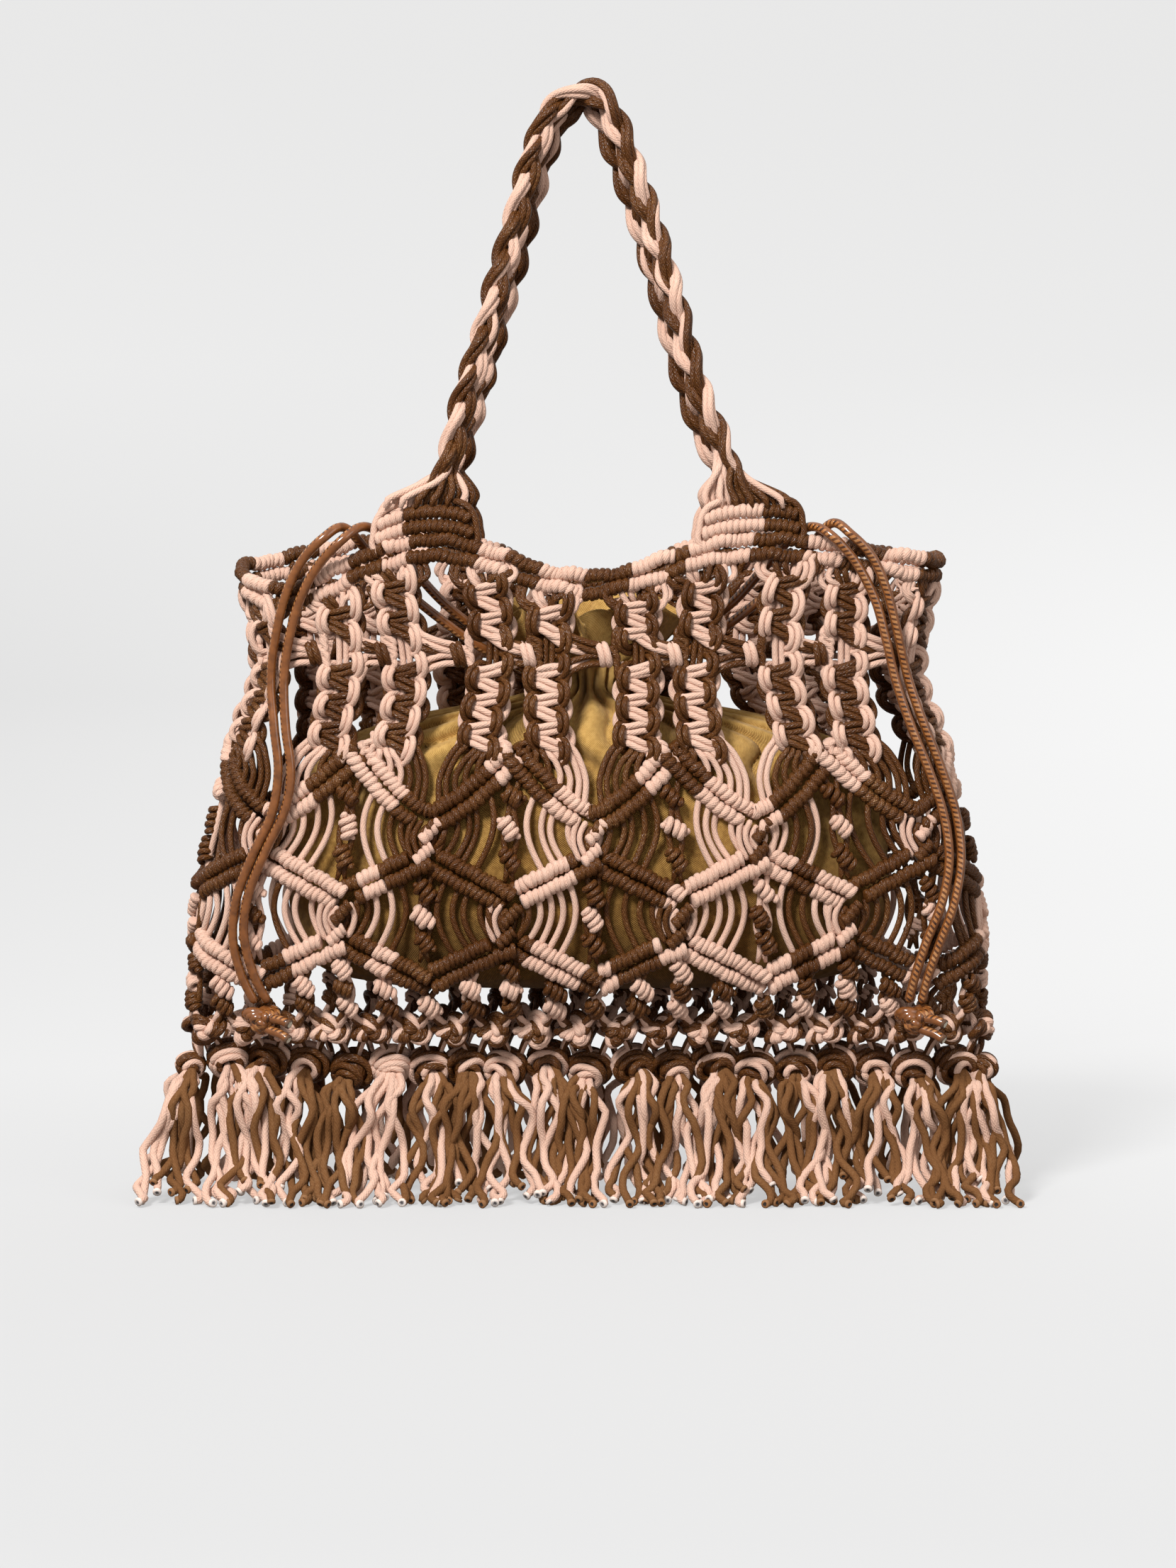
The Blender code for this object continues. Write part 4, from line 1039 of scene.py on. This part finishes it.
def plait(piece, sideY, phase):
    # strand k swings sin(a) to the side and sin(2a) deep, a third of a turn behind the last
    line = handleLine(sideY)
    along = unit(np.gradient(line, axis=0))
    across = unit(np.cross((0.0, 1.0, 0.0), along))
    deep = np.cross(along, across)
    run = runAlong(line)
    close = np.clip(np.minimum(run, run[-1] - run) / handle["open"], 0, 1)
    close = close * close * (3 - 2 * close)
    turned = handle["turned"]
    wide = across * math.cos(turned) + deep * math.sin(turned)
    thick = deep * math.cos(turned) - across * math.sin(turned)
    for strand in range(3):
        angle = turnAngle * (run / handle["period"] + strand / 3) + phase
        middle = line + wide * (handle["swing"] * np.sin(angle))[:, None]
        middle = middle + thick * (handle["depth"] * np.sin(2 * angle))[:, None]
        for cord, tone in enumerate(handle["tones"][strand]):
            twist = angle * 0.5 + cord * math.pi / 2 + 0.5 * np.sin(run * 61 + strand)
            spot = middle + wide * (handle["bundle"] * np.cos(twist))[:, None]
            spot = spot + thick * (handle["bundle"] * 0.8 * np.sin(twist))[:, None]
            order = strand * 4 + cord
            splay = ((order - 5.5) / 11 * handle["footWidth"], 0.0018 if order % 2 else -0.0018, 0.0)
            path = spot * close[:, None] + (line + splay) * (1 - close)[:, None]
            path[:, 2] += 0.0008 * np.sin(run * 170 + order) * close
            path[[0, -1], 2] -= 0.0030
            cords(piece, path, tone, handle["cord"])


plait("handleFrontPlait", -1, 0.9)
plait("handleBackPlait", 1, 3.0)
finishCords("handleFrontPlait", "handle_front")
finishCords("handleBackPlait", "handle_back")
print("handles made")

# Pouch: canvas sack, pleated into a tied neck with a ruffle over it
pouch = {
    "width": 0.281, "depth": 0.079, "foot": 0.100, "height": 0.179, "canvas": 0.0009,
    "rows": np.array((
        (0.000, 0.640, 0.340), (0.030, 0.840, 0.600), (0.090, 0.960, 0.780), (0.220, 1.000, 1.000),
        (0.400, 0.985, 1.000), (0.540, 0.930, 0.960), (0.650, 0.800, 0.840), (0.715, 0.560, 0.620),
        (0.780, 0.150, 0.330), (0.830, 0.140, 0.330), (0.900, 0.230, 0.520), (1.000, 0.320, 0.720))),
    "around": 400, "up": 104, "pleats": 26, "pleatDeep": 0.0062, "foldDeep": 0.0078, "broadDeep": 0.0085,
    "ruffleWaves": 8, "ruffleDeep": 0.0085, "ruffleSag": 0.0035, "ruffleTilt": 0.003,
    "crumple": 0.001, "hem": 0.0012,
    # where along the height each kind of fold is deepest, and how fast it fades
    "neckAt": (0.775, 0.075), "shoulderAt": (0.66, 0.11), "bellyAt": (0.46, 0.20), "hemAt": (0.0, 0.07),
    "flat": (0.65, 0.235), "thread": 0.00095,
    # the two darkest stops are painted shade, reached low on the sack through the height ramp
    "stops": ((0.0, (0.13, 0.060, 0.011)), (0.25, (0.27, 0.138, 0.032)), (0.5, (0.50, 0.295, 0.083)),
              (0.85, (0.70, 0.45, 0.160))),
}


def bell(height, middle, spread):
    # 1 in the middle, falling away as e to the minus square
    return np.exp(-((height - middle) / spread) ** 2)


def pouchSurface(angle, height):
    # the sack's section at each height, pushed out and in by pleats, folds and slow swells
    shape = smoothTable(pouch["rows"], height)
    pleatWay = pouch["pleats"] * angle + 1.5 * np.sin(3 * angle + 1) + 1.0 * np.sin(7 * angle + 2)
    pleatWay = pleatWay + 2.2 * (height - 0.75) * np.sin(2 * angle + 0.4)
    pleat = bell(height, *pouch["neckAt"]) * pouch["pleatDeep"]
    pleat = pleat * (2 * np.abs(np.sin(pleatWay / 2)) ** 0.7 - 1.1)
    foldWay = 22 * angle + 2.4 * np.sin(2 * angle + 0.5) + 16.0 * (height - 0.6) * np.sin(angle * 3 + 1)
    foldWay = foldWay + 1.6 * np.sin(30 * height + 5 * angle)
    fold = bell(height, *pouch["shoulderAt"]) * pouch["foldDeep"]
    fold = fold * (1.6 * np.abs(np.sin(foldWay / 2)) ** 0.6 - 1.15)
    broadWay = 9 * angle + 9.0 * (height - 0.4) * np.cos(2 * angle) + 1.4 * np.sin(3 * angle)
    broad = bell(height, *pouch["bellyAt"]) * pouch["broadDeep"]
    broad = broad * (1.3 * np.abs(np.sin(broadWay / 2 + 3.5 * height)) ** 0.7 - 0.9)
    crumple = pouch["crumple"] * np.sin(13 * angle + 20 * height) * np.sin(31 * height + 4 * angle)
    crumple = crumple * np.clip(1 - height, 0.2, 1)
    hem = pouch["hem"] * bell(height, *pouch["hemAt"]) * np.sin(34 * angle + 2 * np.sin(5 * angle))
    reach = pleat + fold + broad + crumple + hem
    rising = np.clip((height - 0.835) / 0.165, 0, 1)
    waveWay = pouch["ruffleWaves"] * angle + 1.1 * np.sin(2 * angle + 0.7) + 1.4 * rising
    ruffle = rising ** 0.8 * pouch["ruffleDeep"] * np.sin(waveWay)
    curl = rising * pouch["ruffleDeep"] * 0.65 * np.sin(2 * waveWay + 0.6)
    reach = reach + ruffle
    x = (shape[..., 0] * pouch["width"] / 2 + reach) * np.sin(angle) + curl * np.cos(angle)
    y = -(shape[..., 1] * pouch["depth"] / 2 + reach * 0.8) * np.cos(angle) + curl * np.sin(angle)
    sag = rising * (pouch["ruffleSag"] * np.sin(2.3 * waveWay + 1) - pouch["ruffleTilt"] * np.cos(angle))
    z = pouch["foot"] + height * pouch["height"] + sag
    return lastAxis(x, y, z)


angle = np.linspace(0, turnAngle, pouch["around"], endpoint=False)
height = np.linspace(0, 1, pouch["up"])
sides = pouchSurface(*np.broadcast_arrays(angle[None], height[:, None]))
shrink = np.linspace(0.04, 1, 14, endpoint=False)[:, None]
floorRings = sides[0][None] * np.stack((shrink, shrink, np.ones_like(shrink)), -1)
floorRings[..., 2] += 0.002 * np.cos(shrink * math.pi / 2)
rings = np.concatenate((floorRings, sides))
rowCount, around = rings.shape[:2]
row, column, quads = ringQuads(rowCount, around)
climb = runAlong(rings[:, 0])
u = lastAxis(column, column + 1, column + 1, column) * (pouch["flat"][0] / around)
v = lastAxis(climb[row], climb[row], climb[row + 1], climb[row + 1])
uvs = np.concatenate((lastAxis(u, v).reshape(-1, 2), np.zeros((around * 3, 2))))


def canvasMaterial():
    # plain weave: waves one way and the other in the cloth's own UV, in metres; painted shade makes it
    # darker towards its foot
    material, inputs = newMaterial("khakiCanvas")
    u, v, _ = axes("UV")
    thread = turnAngle / pouch["thread"]
    weave = times(mathNode("SINE", times(u, thread)), mathNode("SINE", times(v, thread)))
    # painted shade: below 0.135 m over the sack's foot the colour level is pushed down to the darkest stops
    shade = times(minus(axes("Object")[2], pouch["foot"] + 0.135), 3.8)
    level = plus(times(weave, 0.16), times(noise(420.0, 4.0), 0.5), times(noise(16.0, 3.0), 0.5),
                 mathNode("MINIMUM", shade, 0.0))
    colour(inputs["Base Color"], level, pouch["stops"])
    surface(inputs, weave, 0.5, 0.0003, roughness=0.9, specular=0.15, sheen=0.1)
    return material


points = np.concatenate((rings.reshape(-1, 3), [[0.0, 0.0, float(rings[0, 0, 2])]]))
floorFan = ringFan(rowCount * around, 0, around)
pouchCloth = makeMesh("pouchCloth", "", points, quads, floorFan, uvs, canvasMaterial())
wallMaker = pouchCloth.modifiers.new("canvas", "SOLIDIFY")
wallMaker.thickness = pouch["canvas"]
wallMaker.offset = -1.0
settle(pouchCloth, "canvas_pouch")
print("pouch made")

# Fringe: big knots in a row, eight or more wavy cords from each, cut ends towards the viewer
fringe = {
    "knotsAt": (256, 310, 371, 427, 490, 544, 601, 653, 711, 772, 831, 894, 951, 1011, 1070, 1130, 1190,
                1238, 1298, 1360, 1400),
    "knotHeights": (0.062, 0.065, 0.065, 0.063, 0.060, 0.062, 0.061, 0.062, 0.061, 0.064, 0.060, 0.062,
                    0.061, 0.063, 0.060, 0.061, 0.063, 0.062, 0.060, 0.062, 0.061),
    "knotTones": ("bpb", "bppbbp", "bbbpbb", "pbbbpp", "bbbbbb", "pppppp", "pbpbbp", "bpbbpb", "ppbpbp",
                  "bbpbbb", "ppbbpb", "bbbppb", "pbbbpb", "bbpbbp", "bppbpb", "pbbpbb", "bbbpbb", "ppbbpb",
                  "bpbbpb", "pbpbbb", "bpb"),
    "strandTones": ("pbbpbppb", "ppppbppb", "bpbpbbpp", "pbbpbbpb", "bbbbbbbb", "pppppppp", "bpbbpbpb",
                    "bppbbpbb", "bbppbbpb", "ppbbpbpb", "bpbbppbb", "pbbbppbp", "bbpbpbbp", "pbbpbbpb",
                    "ppbpbbbp", "bbpbbpbb", "pbbpbpbb", "bppbbbpb", "pbbbpbpp", "bbpbbpbp", "pbpbbbpb"),
    "size": np.array((0.0096, 0.0092, 0.0086)), "cord": 0.00172, "strand": 0.00192, "reach": 0.0430,
    "spread": 0.0150, "rings": np.radians((29, 47, 66, 86, 107, 129, 152)), "core": 0.0086, "tuck": 0.2,
    "samples": 34, "kinks": (0.0026, 0.0012, 0.0012),
}
tips = {"p": [], "b": []}


def fallingStrand(knotX, knotZ, pole, way, spread, reach, length, tone):
    # out of the knot's pole, down in slow kinks, and forward along the floor to a cut end
    low = fringe["strand"] + 0.0002
    start = np.array((knotX, 0.0, knotZ))
    drift = spread * rng.uniform(0.8, 1.0)
    layer = 0.0034 * (rng.random() > 0.5)
    out = start + pole * 0.0098 + np.array((0.28 * drift, way * layer * 0.3, rng.uniform(-0.0030, 0.0010)))
    points = np.array((
        start + pole * 0.003, out,
        (out[0] + 0.16 * drift, way * (0.0122 + layer), knotZ - 0.0085),
        (knotX + 0.56 * drift, way * (0.0135 + layer + 0.003 * rng.random()), knotZ - 0.019),
        (knotX + 0.72 * drift, way * (0.36 + 0.12 * rng.random()) * reach, 0.027),
        (knotX + 0.92 * drift, way * 0.62 * reach, 0.013),
        (knotX + drift, way * 0.85 * reach, low + 0.0035), (knotX + 1.06 * drift, way * reach, low)))
    path = throughPoints(points, fringe["samples"])
    share = np.linspace(0, 1, fringe["samples"])
    loose = np.clip((share - 0.22) / 0.2, 0, 1) * np.clip((1.02 - share) / 0.12, 0, 1)
    for axis, size in enumerate(fringe["kinks"]):
        wave = np.arcsin(0.96 * np.sin(share * rng.uniform(9, 17) + rng.random() * 6))
        wave = wave + 0.4 * np.arcsin(0.96 * np.sin(share * rng.uniform(22, 30) + rng.random() * 6))
        path[:, axis] += size * loose * wave
    path = path[:max(12, round(fringe["samples"] * length))]
    path[:, 2] = np.maximum(path[:, 2], low)
    cords("fringeStrands", path, "m" if tone == "b" else tone, fringe["strand"], 9)
    tips[tone].append((path[-1], unit(path[-1] - path[-2])))


for number, pixel in enumerate(fringe["knotsAt"]):
    knotX, knotZ = float(pixelAcross(pixel)), fringe["knotHeights"][number]
    small = 0.62 if number in (0, 20) else 1.0
    centre = np.array((knotX, -0.0005, knotZ))
    lean = (0.45 if number % 3 else -0.3) * rng.uniform(0.3, 1.0) * (1 if number % 2 else -1)
    pole = unit(np.array((lean, -0.88, -0.44)))
    ringsOn(centre, pole, fringe["size"] * small, fringe["cord"] * (0.8 + 0.2 * small),
            fringe["knotTones"][number])
    knotCore("fringeKnots", centre, pole, fringe["core"] * small, "b")
    sideways = 0.0045 * rng.standard_normal()
    outward = 0.55 * (knotX / 0.19) ** 3 * 0.012
    for strand, tone in enumerate(fringe["strandTones"][number]):
        order = (strand * 3) % 8
        spread = outward + sideways + fringe["spread"] * (order - 3.5) / 3.5
        spread = spread + 0.0012 * rng.standard_normal()
        length = 1.0 if rng.random() > 0.45 else rng.uniform(0.76, 0.97)
        reach = fringe["reach"] * rng.uniform(0.70, 1.0)
        fallingStrand(knotX, knotZ, pole, -1, spread, reach, length, tone)
    backPole = pole * np.array((1, -1, 1))
    for strand in range(5):
        spread = outward + fringe["spread"] * (strand - 2) / 2 + 0.003 * rng.standard_normal()
        fallingStrand(knotX, knotZ, backPole, 1, spread, fringe["reach"] * rng.uniform(0.7, 1.0), 1.0,
                      fringe["strandTones"][20 - number][strand])
finishCords("fringeKnots", "fringe")
finishCords("fringeStrands", "fringe")


def cutMaterial(name, stops):
    # colour by distance from the cord's middle, kept in the UV
    material, inputs = newMaterial(name)
    colour(inputs["Base Color"], plus(axes("UV")[0], times(minus(noise(1400.0), 0.5), 0.7)), stops)
    inputs["Roughness"].default_value = 0.8
    return material


cutMaterials = {
    "p": cutMaterial("cutPink", ((0.15, (0.06, 0.05, 0.05)), (0.40, (0.14, 0.12, 0.12)),
                                 (0.58, (0.50, 0.46, 0.43)), (0.85, (0.72, 0.60, 0.53)))),
    "b": cutMaterial("cutBrown", ((0.2, (0.012, 0.007, 0.004)), (0.48, (0.03, 0.014, 0.006)),
                                  (0.66, (0.30, 0.12, 0.035)), (0.9, (0.22, 0.10, 0.035)))),
    "l": cutMaterial("cutLace", ((0.2, (0.62, 0.56, 0.44)), (0.60, (0.74, 0.68, 0.54)),
                                 (0.78, (0.05, 0.025, 0.015)), (0.95, (0.10, 0.045, 0.02)))),
}


# an end's rings, from its middle out: share of the cord's radius, metres past the end, level of colour
cut = {"sides": 10, "rings": np.array(((0.34, 0.00035, 0.34), (0.62, 0.00050, 0.62), (1.06, 0.00030, 1.0),
                                       (1.08, -0.0009, 1.0))), "middle": 0.0002}


def cutEnds(piece, ends, radius, material):
    # each end: three rings that dome a little and a turned-in rim, square to the cord
    places, ways = np.array(ends).transpose(1, 0, 2)
    shares, lifts, level = cut["rings"].T
    count, sides = len(places), cut["sides"]
    first = unit(np.cross(ways, (0.13, 0.2, 1.0)))
    circle = circleRound(first, np.cross(ways, first), sides)
    rings = (places[:, None, None] + ways[:, None, None] * lifts[:, None, None]
             + circle[:, None] * (shares * radius)[:, None, None])
    points = np.concatenate((rings.reshape(count, -1, 3), (places + ways * cut["middle"])[:, None]), 1)
    row, _, quads = ringQuads(len(shares), sides)
    middle = len(shares) * sides
    starts = np.arange(count)[:, None, None] * (middle + 1)
    quads = (quads[None, :, (0, 3, 2, 1)] + starts).reshape(-1, 4)
    centres = (ringFan(middle, 0, sides)[None, :, (0, 2, 1)] + starts).reshape(-1, 3)
    quadUvs = np.tile(lastAxis(level[row], level[row + 1], level[row + 1], level[row]).ravel(), count)
    centreUvs = np.tile((0.0, level[0], level[0]), sides * count)
    uvs = lastAxis(np.concatenate((quadUvs, centreUvs)), 0.0)
    return makeMesh(piece, "", points.reshape(-1, 3), quads, centres, uvs, material)


for tone, ends in tips.items():
    made = cutEnds("fringeCuts_" + toneNames[tone], ends, fringe["strand"], cutMaterials[tone])
    settle(made, "fringe")
print("fringe made")

# Laces: leather drawstrings with a stitched seam, and the knots that end each pair
lace = {
    "radius": 0.0022, "knotSize": (0.0078, 0.0054, 0.0030), "band": 0.0024,
    "seamAt": 0.24, "seamWidth": 0.17,
    "stops": ((0.0, (0.040, 0.012, 0.004)), (0.2, (0.200, 0.066, 0.016)), (0.45, (0.330, 0.118, 0.028)),
              (0.7, (0.60, 0.36, 0.17))),
    "tails": ((0.06, -0.10), (-0.30, -0.30)),  # height on the knot, and how far it points down, in radians
    "knots": {"left": (-0.1530, -0.0265, 0.0876), "right": (0.1532, -0.0265, 0.0876)},
    "routes": {
        "lace_left_outer": (
            (-0.0190, -0.0065, 0.2450), (-0.0330, -0.0085, 0.2520), (-0.0520, -0.0115, 0.2620),
            (-0.0700, -0.0140, 0.2750), (-0.0880, -0.0155, 0.2900), (-0.1020, -0.0185, 0.3050),
            (-0.1130, -0.0275, 0.3175), (-0.1225, -0.0345, 0.3130), (-0.1330, -0.0325, 0.3018),
            (-0.1406, -0.0308, 0.2858), (-0.1455, -0.0285, 0.2656), (-0.1476, -0.0272, 0.2468),
            (-0.1460, -0.0318, 0.2248), (-0.1441, -0.0333, 0.2044), (-0.1474, -0.0339, 0.1843),
            (-0.1565, -0.0333, 0.1649), (-0.1641, -0.0318, 0.1447), (-0.1660, -0.0300, 0.1252),
            (-0.1621, -0.0285, 0.1080), (-0.1560, -0.0265, 0.0950)),
        "lace_left_inner": (
            (-0.0222, 0.0015, 0.2500), (-0.0345, 0.0000, 0.2585), (-0.0520, -0.0050, 0.2690),
            (-0.0690, -0.0090, 0.2830), (-0.0840, -0.0130, 0.3000), (-0.0955, -0.0180, 0.3130),
            (-0.1045, -0.0275, 0.3180), (-0.1140, -0.0355, 0.3120), (-0.1261, -0.0330, 0.2987),
            (-0.1346, -0.0314, 0.2819), (-0.1395, -0.0305, 0.2629), (-0.1415, -0.0303, 0.2457),
            (-0.1406, -0.0326, 0.2244), (-0.1382, -0.0340, 0.2045), (-0.1411, -0.0346, 0.1863),
            (-0.1503, -0.0338, 0.1670), (-0.1585, -0.0326, 0.1465), (-0.1608, -0.0308, 0.1273),
            (-0.1565, -0.0293, 0.1088), (-0.1502, -0.0265, 0.0954)),
        "lace_right_outer": (
            (0.0190, -0.0065, 0.2450), (0.0330, -0.0085, 0.2520), (0.0520, -0.0115, 0.2620),
            (0.0700, -0.0140, 0.2750), (0.0880, -0.0155, 0.2900), (0.1020, -0.0185, 0.3060),
            (0.1130, -0.0275, 0.3195), (0.1220, -0.0350, 0.3145), (0.1320, -0.0330, 0.3038),
            (0.1389, -0.0310, 0.2879), (0.1440, -0.0292, 0.2686), (0.1490, -0.0262, 0.2478),
            (0.1560, -0.0268, 0.2277), (0.1650, -0.0255, 0.2053), (0.1720, -0.0244, 0.1842),
            (0.1744, -0.0264, 0.1628), (0.1710, -0.0298, 0.1419), (0.1640, -0.0298, 0.1221),
            (0.1592, -0.0285, 0.1075), (0.1562, -0.0265, 0.0950)),
        "lace_right_inner": (
            (0.0222, 0.0015, 0.2500), (0.0345, 0.0000, 0.2585), (0.0520, -0.0050, 0.2690),
            (0.0690, -0.0090, 0.2830), (0.0840, -0.0130, 0.3000), (0.0955, -0.0180, 0.3130),
            (0.1045, -0.0275, 0.3180), (0.1140, -0.0355, 0.3130), (0.1247, -0.0332, 0.3007),
            (0.1334, -0.0314, 0.2839), (0.1385, -0.0307, 0.2659), (0.1434, -0.0295, 0.2458),
            (0.1505, -0.0303, 0.2251), (0.1592, -0.0295, 0.2040), (0.1662, -0.0290, 0.1829),
            (0.1686, -0.0300, 0.1625), (0.1652, -0.0316, 0.1427), (0.1582, -0.0306, 0.1242),
            (0.1530, -0.0295, 0.1077), (0.1502, -0.0265, 0.0954)),
    },
}


def leatherMaterial():
    # smooth tan leather, and two seams of slanted stitches along the tube, across from each other
    material, inputs = newMaterial("tanLeather")
    along, roundIt, _ = axes("UV")
    nearSeam = mathNode("ABSOLUTE", minus(mathNode("FRACT", times(roundIt, 2.0)), lace["seamAt"]))
    seam = mathNode("LESS_THAN", nearSeam, lace["seamWidth"])
    slant = plus(times(along, turnAngle * 1.25), times(roundIt, 16.0))
    stitch = times(mathNode("GREATER_THAN", mathNode("SINE", slant), -0.1), seam)
    level = minus(plus(times(noise(260.0, 4.0), 0.35), times(stitch, 0.42)), times(seam, 0.12))
    colour(inputs["Base Color"], level, lace["stops"])
    surface(inputs, level, 0.35, 0.0004, roughness=0.18, specular=0.7)
    return material


leather = leatherMaterial()
for sideName, spot in lace["knots"].items():
    centre = np.array(spot)
    piece = "laceKnot_" + sideName
    overhand(piece, centre, np.array((1.0, 0.0, 0.0)), np.array((0.0, -1.0, 0.0)), lace["knotSize"],
             lace["band"], "lll", 2.2)
    tails = []
    for rise, drop in lace["tails"]:
        begin = centre + np.array((0.001, -0.0020, rise * 0.0135))
        way = np.array((math.cos(drop), -0.55, math.sin(drop)))
        end = begin + way * 0.0125 + np.array((0.0, 0.0, -0.0012))
        tail = throughPoints((begin, begin + way * 0.005, begin + way * 0.009, end), 14)
        cords(piece, tail, "l", lace["radius"], 10)
        tails.append((tail[-1], unit(tail[-1] - tail[-2])))
    made = buildPiece(piece, "", bundles.pop((piece, "l")), leather)
    cuts = cutEnds("laceCuts_" + sideName, tails, lace["radius"], cutMaterials["l"])
    for part in (made, cuts):
        settle(part, "lace_knot_" + sideName)
for name, route in lace["routes"].items():
    line = evenPath(np.array(route), 0.0015)
    piece = name.replace("lace_", "laceTube_")
    cords(piece, line, "l", lace["radius"], 14)
    made = buildPiece(piece, "", bundles.pop((piece, "l")), leather)
    settle(made, name)
    length = float(runAlong(line)[-1])
print("laces made")

# Backdrop and light: pale seamless paper, one large soft light high on the left, a weaker one opposite
stage = {
    "wide": 5.0, "front": -3.0, "back": 3.4, "curve": 0.8, "high": 3.6, "shade": 0.22,
    # the paper's own glow evens it out: weaker in front, where the key is strong, stronger to the right
    "glow": ((0.0875, 0.40), (0.1875, 0.465), (0.35, 0.60), (0.70, 0.65), (0.90, 0.665)), "tilt": 0.11,
    "sky": ((0.0, (0.16, 0.15, 0.14)), (0.5, (0.42, 0.41, 0.40)), (1.0, (0.85, 0.85, 0.85))),
    # name, place, size in metres, watts
    "lights": (("keyLight", (-0.85, -1.85, 1.9), 0.7, 88), ("fillLight", (1.7, -1.4, 0.9), 1.4, 8)),
    "aim": (0.0, 0.0, 0.2),
}
bend = np.linspace(0, math.pi / 2, 16)
profile = np.concatenate(([[stage["front"], 0.0]],
                          np.stack((stage["back"] + stage["curve"] * np.sin(bend),
                                    stage["curve"] * (1 - np.cos(bend))), -1),
                          [[stage["back"] + stage["curve"], stage["high"]]]))
count = len(profile)
paper = bpy.data.meshes.new("paper")
paper.from_pydata([(side * stage["wide"], y, z) for side in (-1, 1) for y, z in profile], [],
                  [(place, count + place, count + place + 1, place + 1) for place in range(count - 1)])
paper.polygons.foreach_set("use_smooth", np.ones(count - 1, bool))
paperMaterial, inputs = newMaterial("palePaper")
inputs["Base Color"].default_value = (stage["shade"], stage["shade"], stage["shade"], 1.0)
setValues(inputs, roughness=0.95, specular=0.1)
inputs["Emission Color"].default_value = (1.0, 1.0, 1.0, 1.0)
x, y, z = axes("Object")
glow = colour(None, plus(times(y, 0.25), 0.25), [(place, (level,) * 3) for place, level in stage["glow"]])
nearFloor = mathNode("MAXIMUM", minus(1.0, times(z, 2.5)), 0.0)
tree["links"].new(plus(glow, times(times(x, stage["tilt"]), nearFloor)), inputs["Emission Strength"])
paper.materials.append(paperMaterial)
paperObject = bpy.data.objects.new("paper", paper)
bpy.context.scene.collection.objects.link(paperObject)
paperObject.visible_diffuse = False
paperObject.visible_glossy = False
paperObject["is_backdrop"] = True

for name, place, size, power in stage["lights"]:
    data = bpy.data.lights.new(name, "AREA")
    data.shape = "DISK"
    data.size = size
    data.energy = power
    light = bpy.data.objects.new(name, data)
    light.location = place
    x, y, z = np.subtract(stage["aim"], place)
    light.rotation_euler = (math.atan2(math.hypot(x, y), -z), 0, math.atan2(y, x) - math.pi / 2)
    bpy.context.scene.collection.objects.link(light)
world = bpy.data.worlds.new("world")
openTree(world)
# the room: bright above, dim below
colour(tree["nodes"]["Background"].inputs[0], plus(times(axes("Generated")[2], 0.5), 0.5), stage["sky"])
bpy.context.scene.world = world
bpy.context.scene.view_settings.view_transform = "Standard"
print("stage made")

low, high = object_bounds()
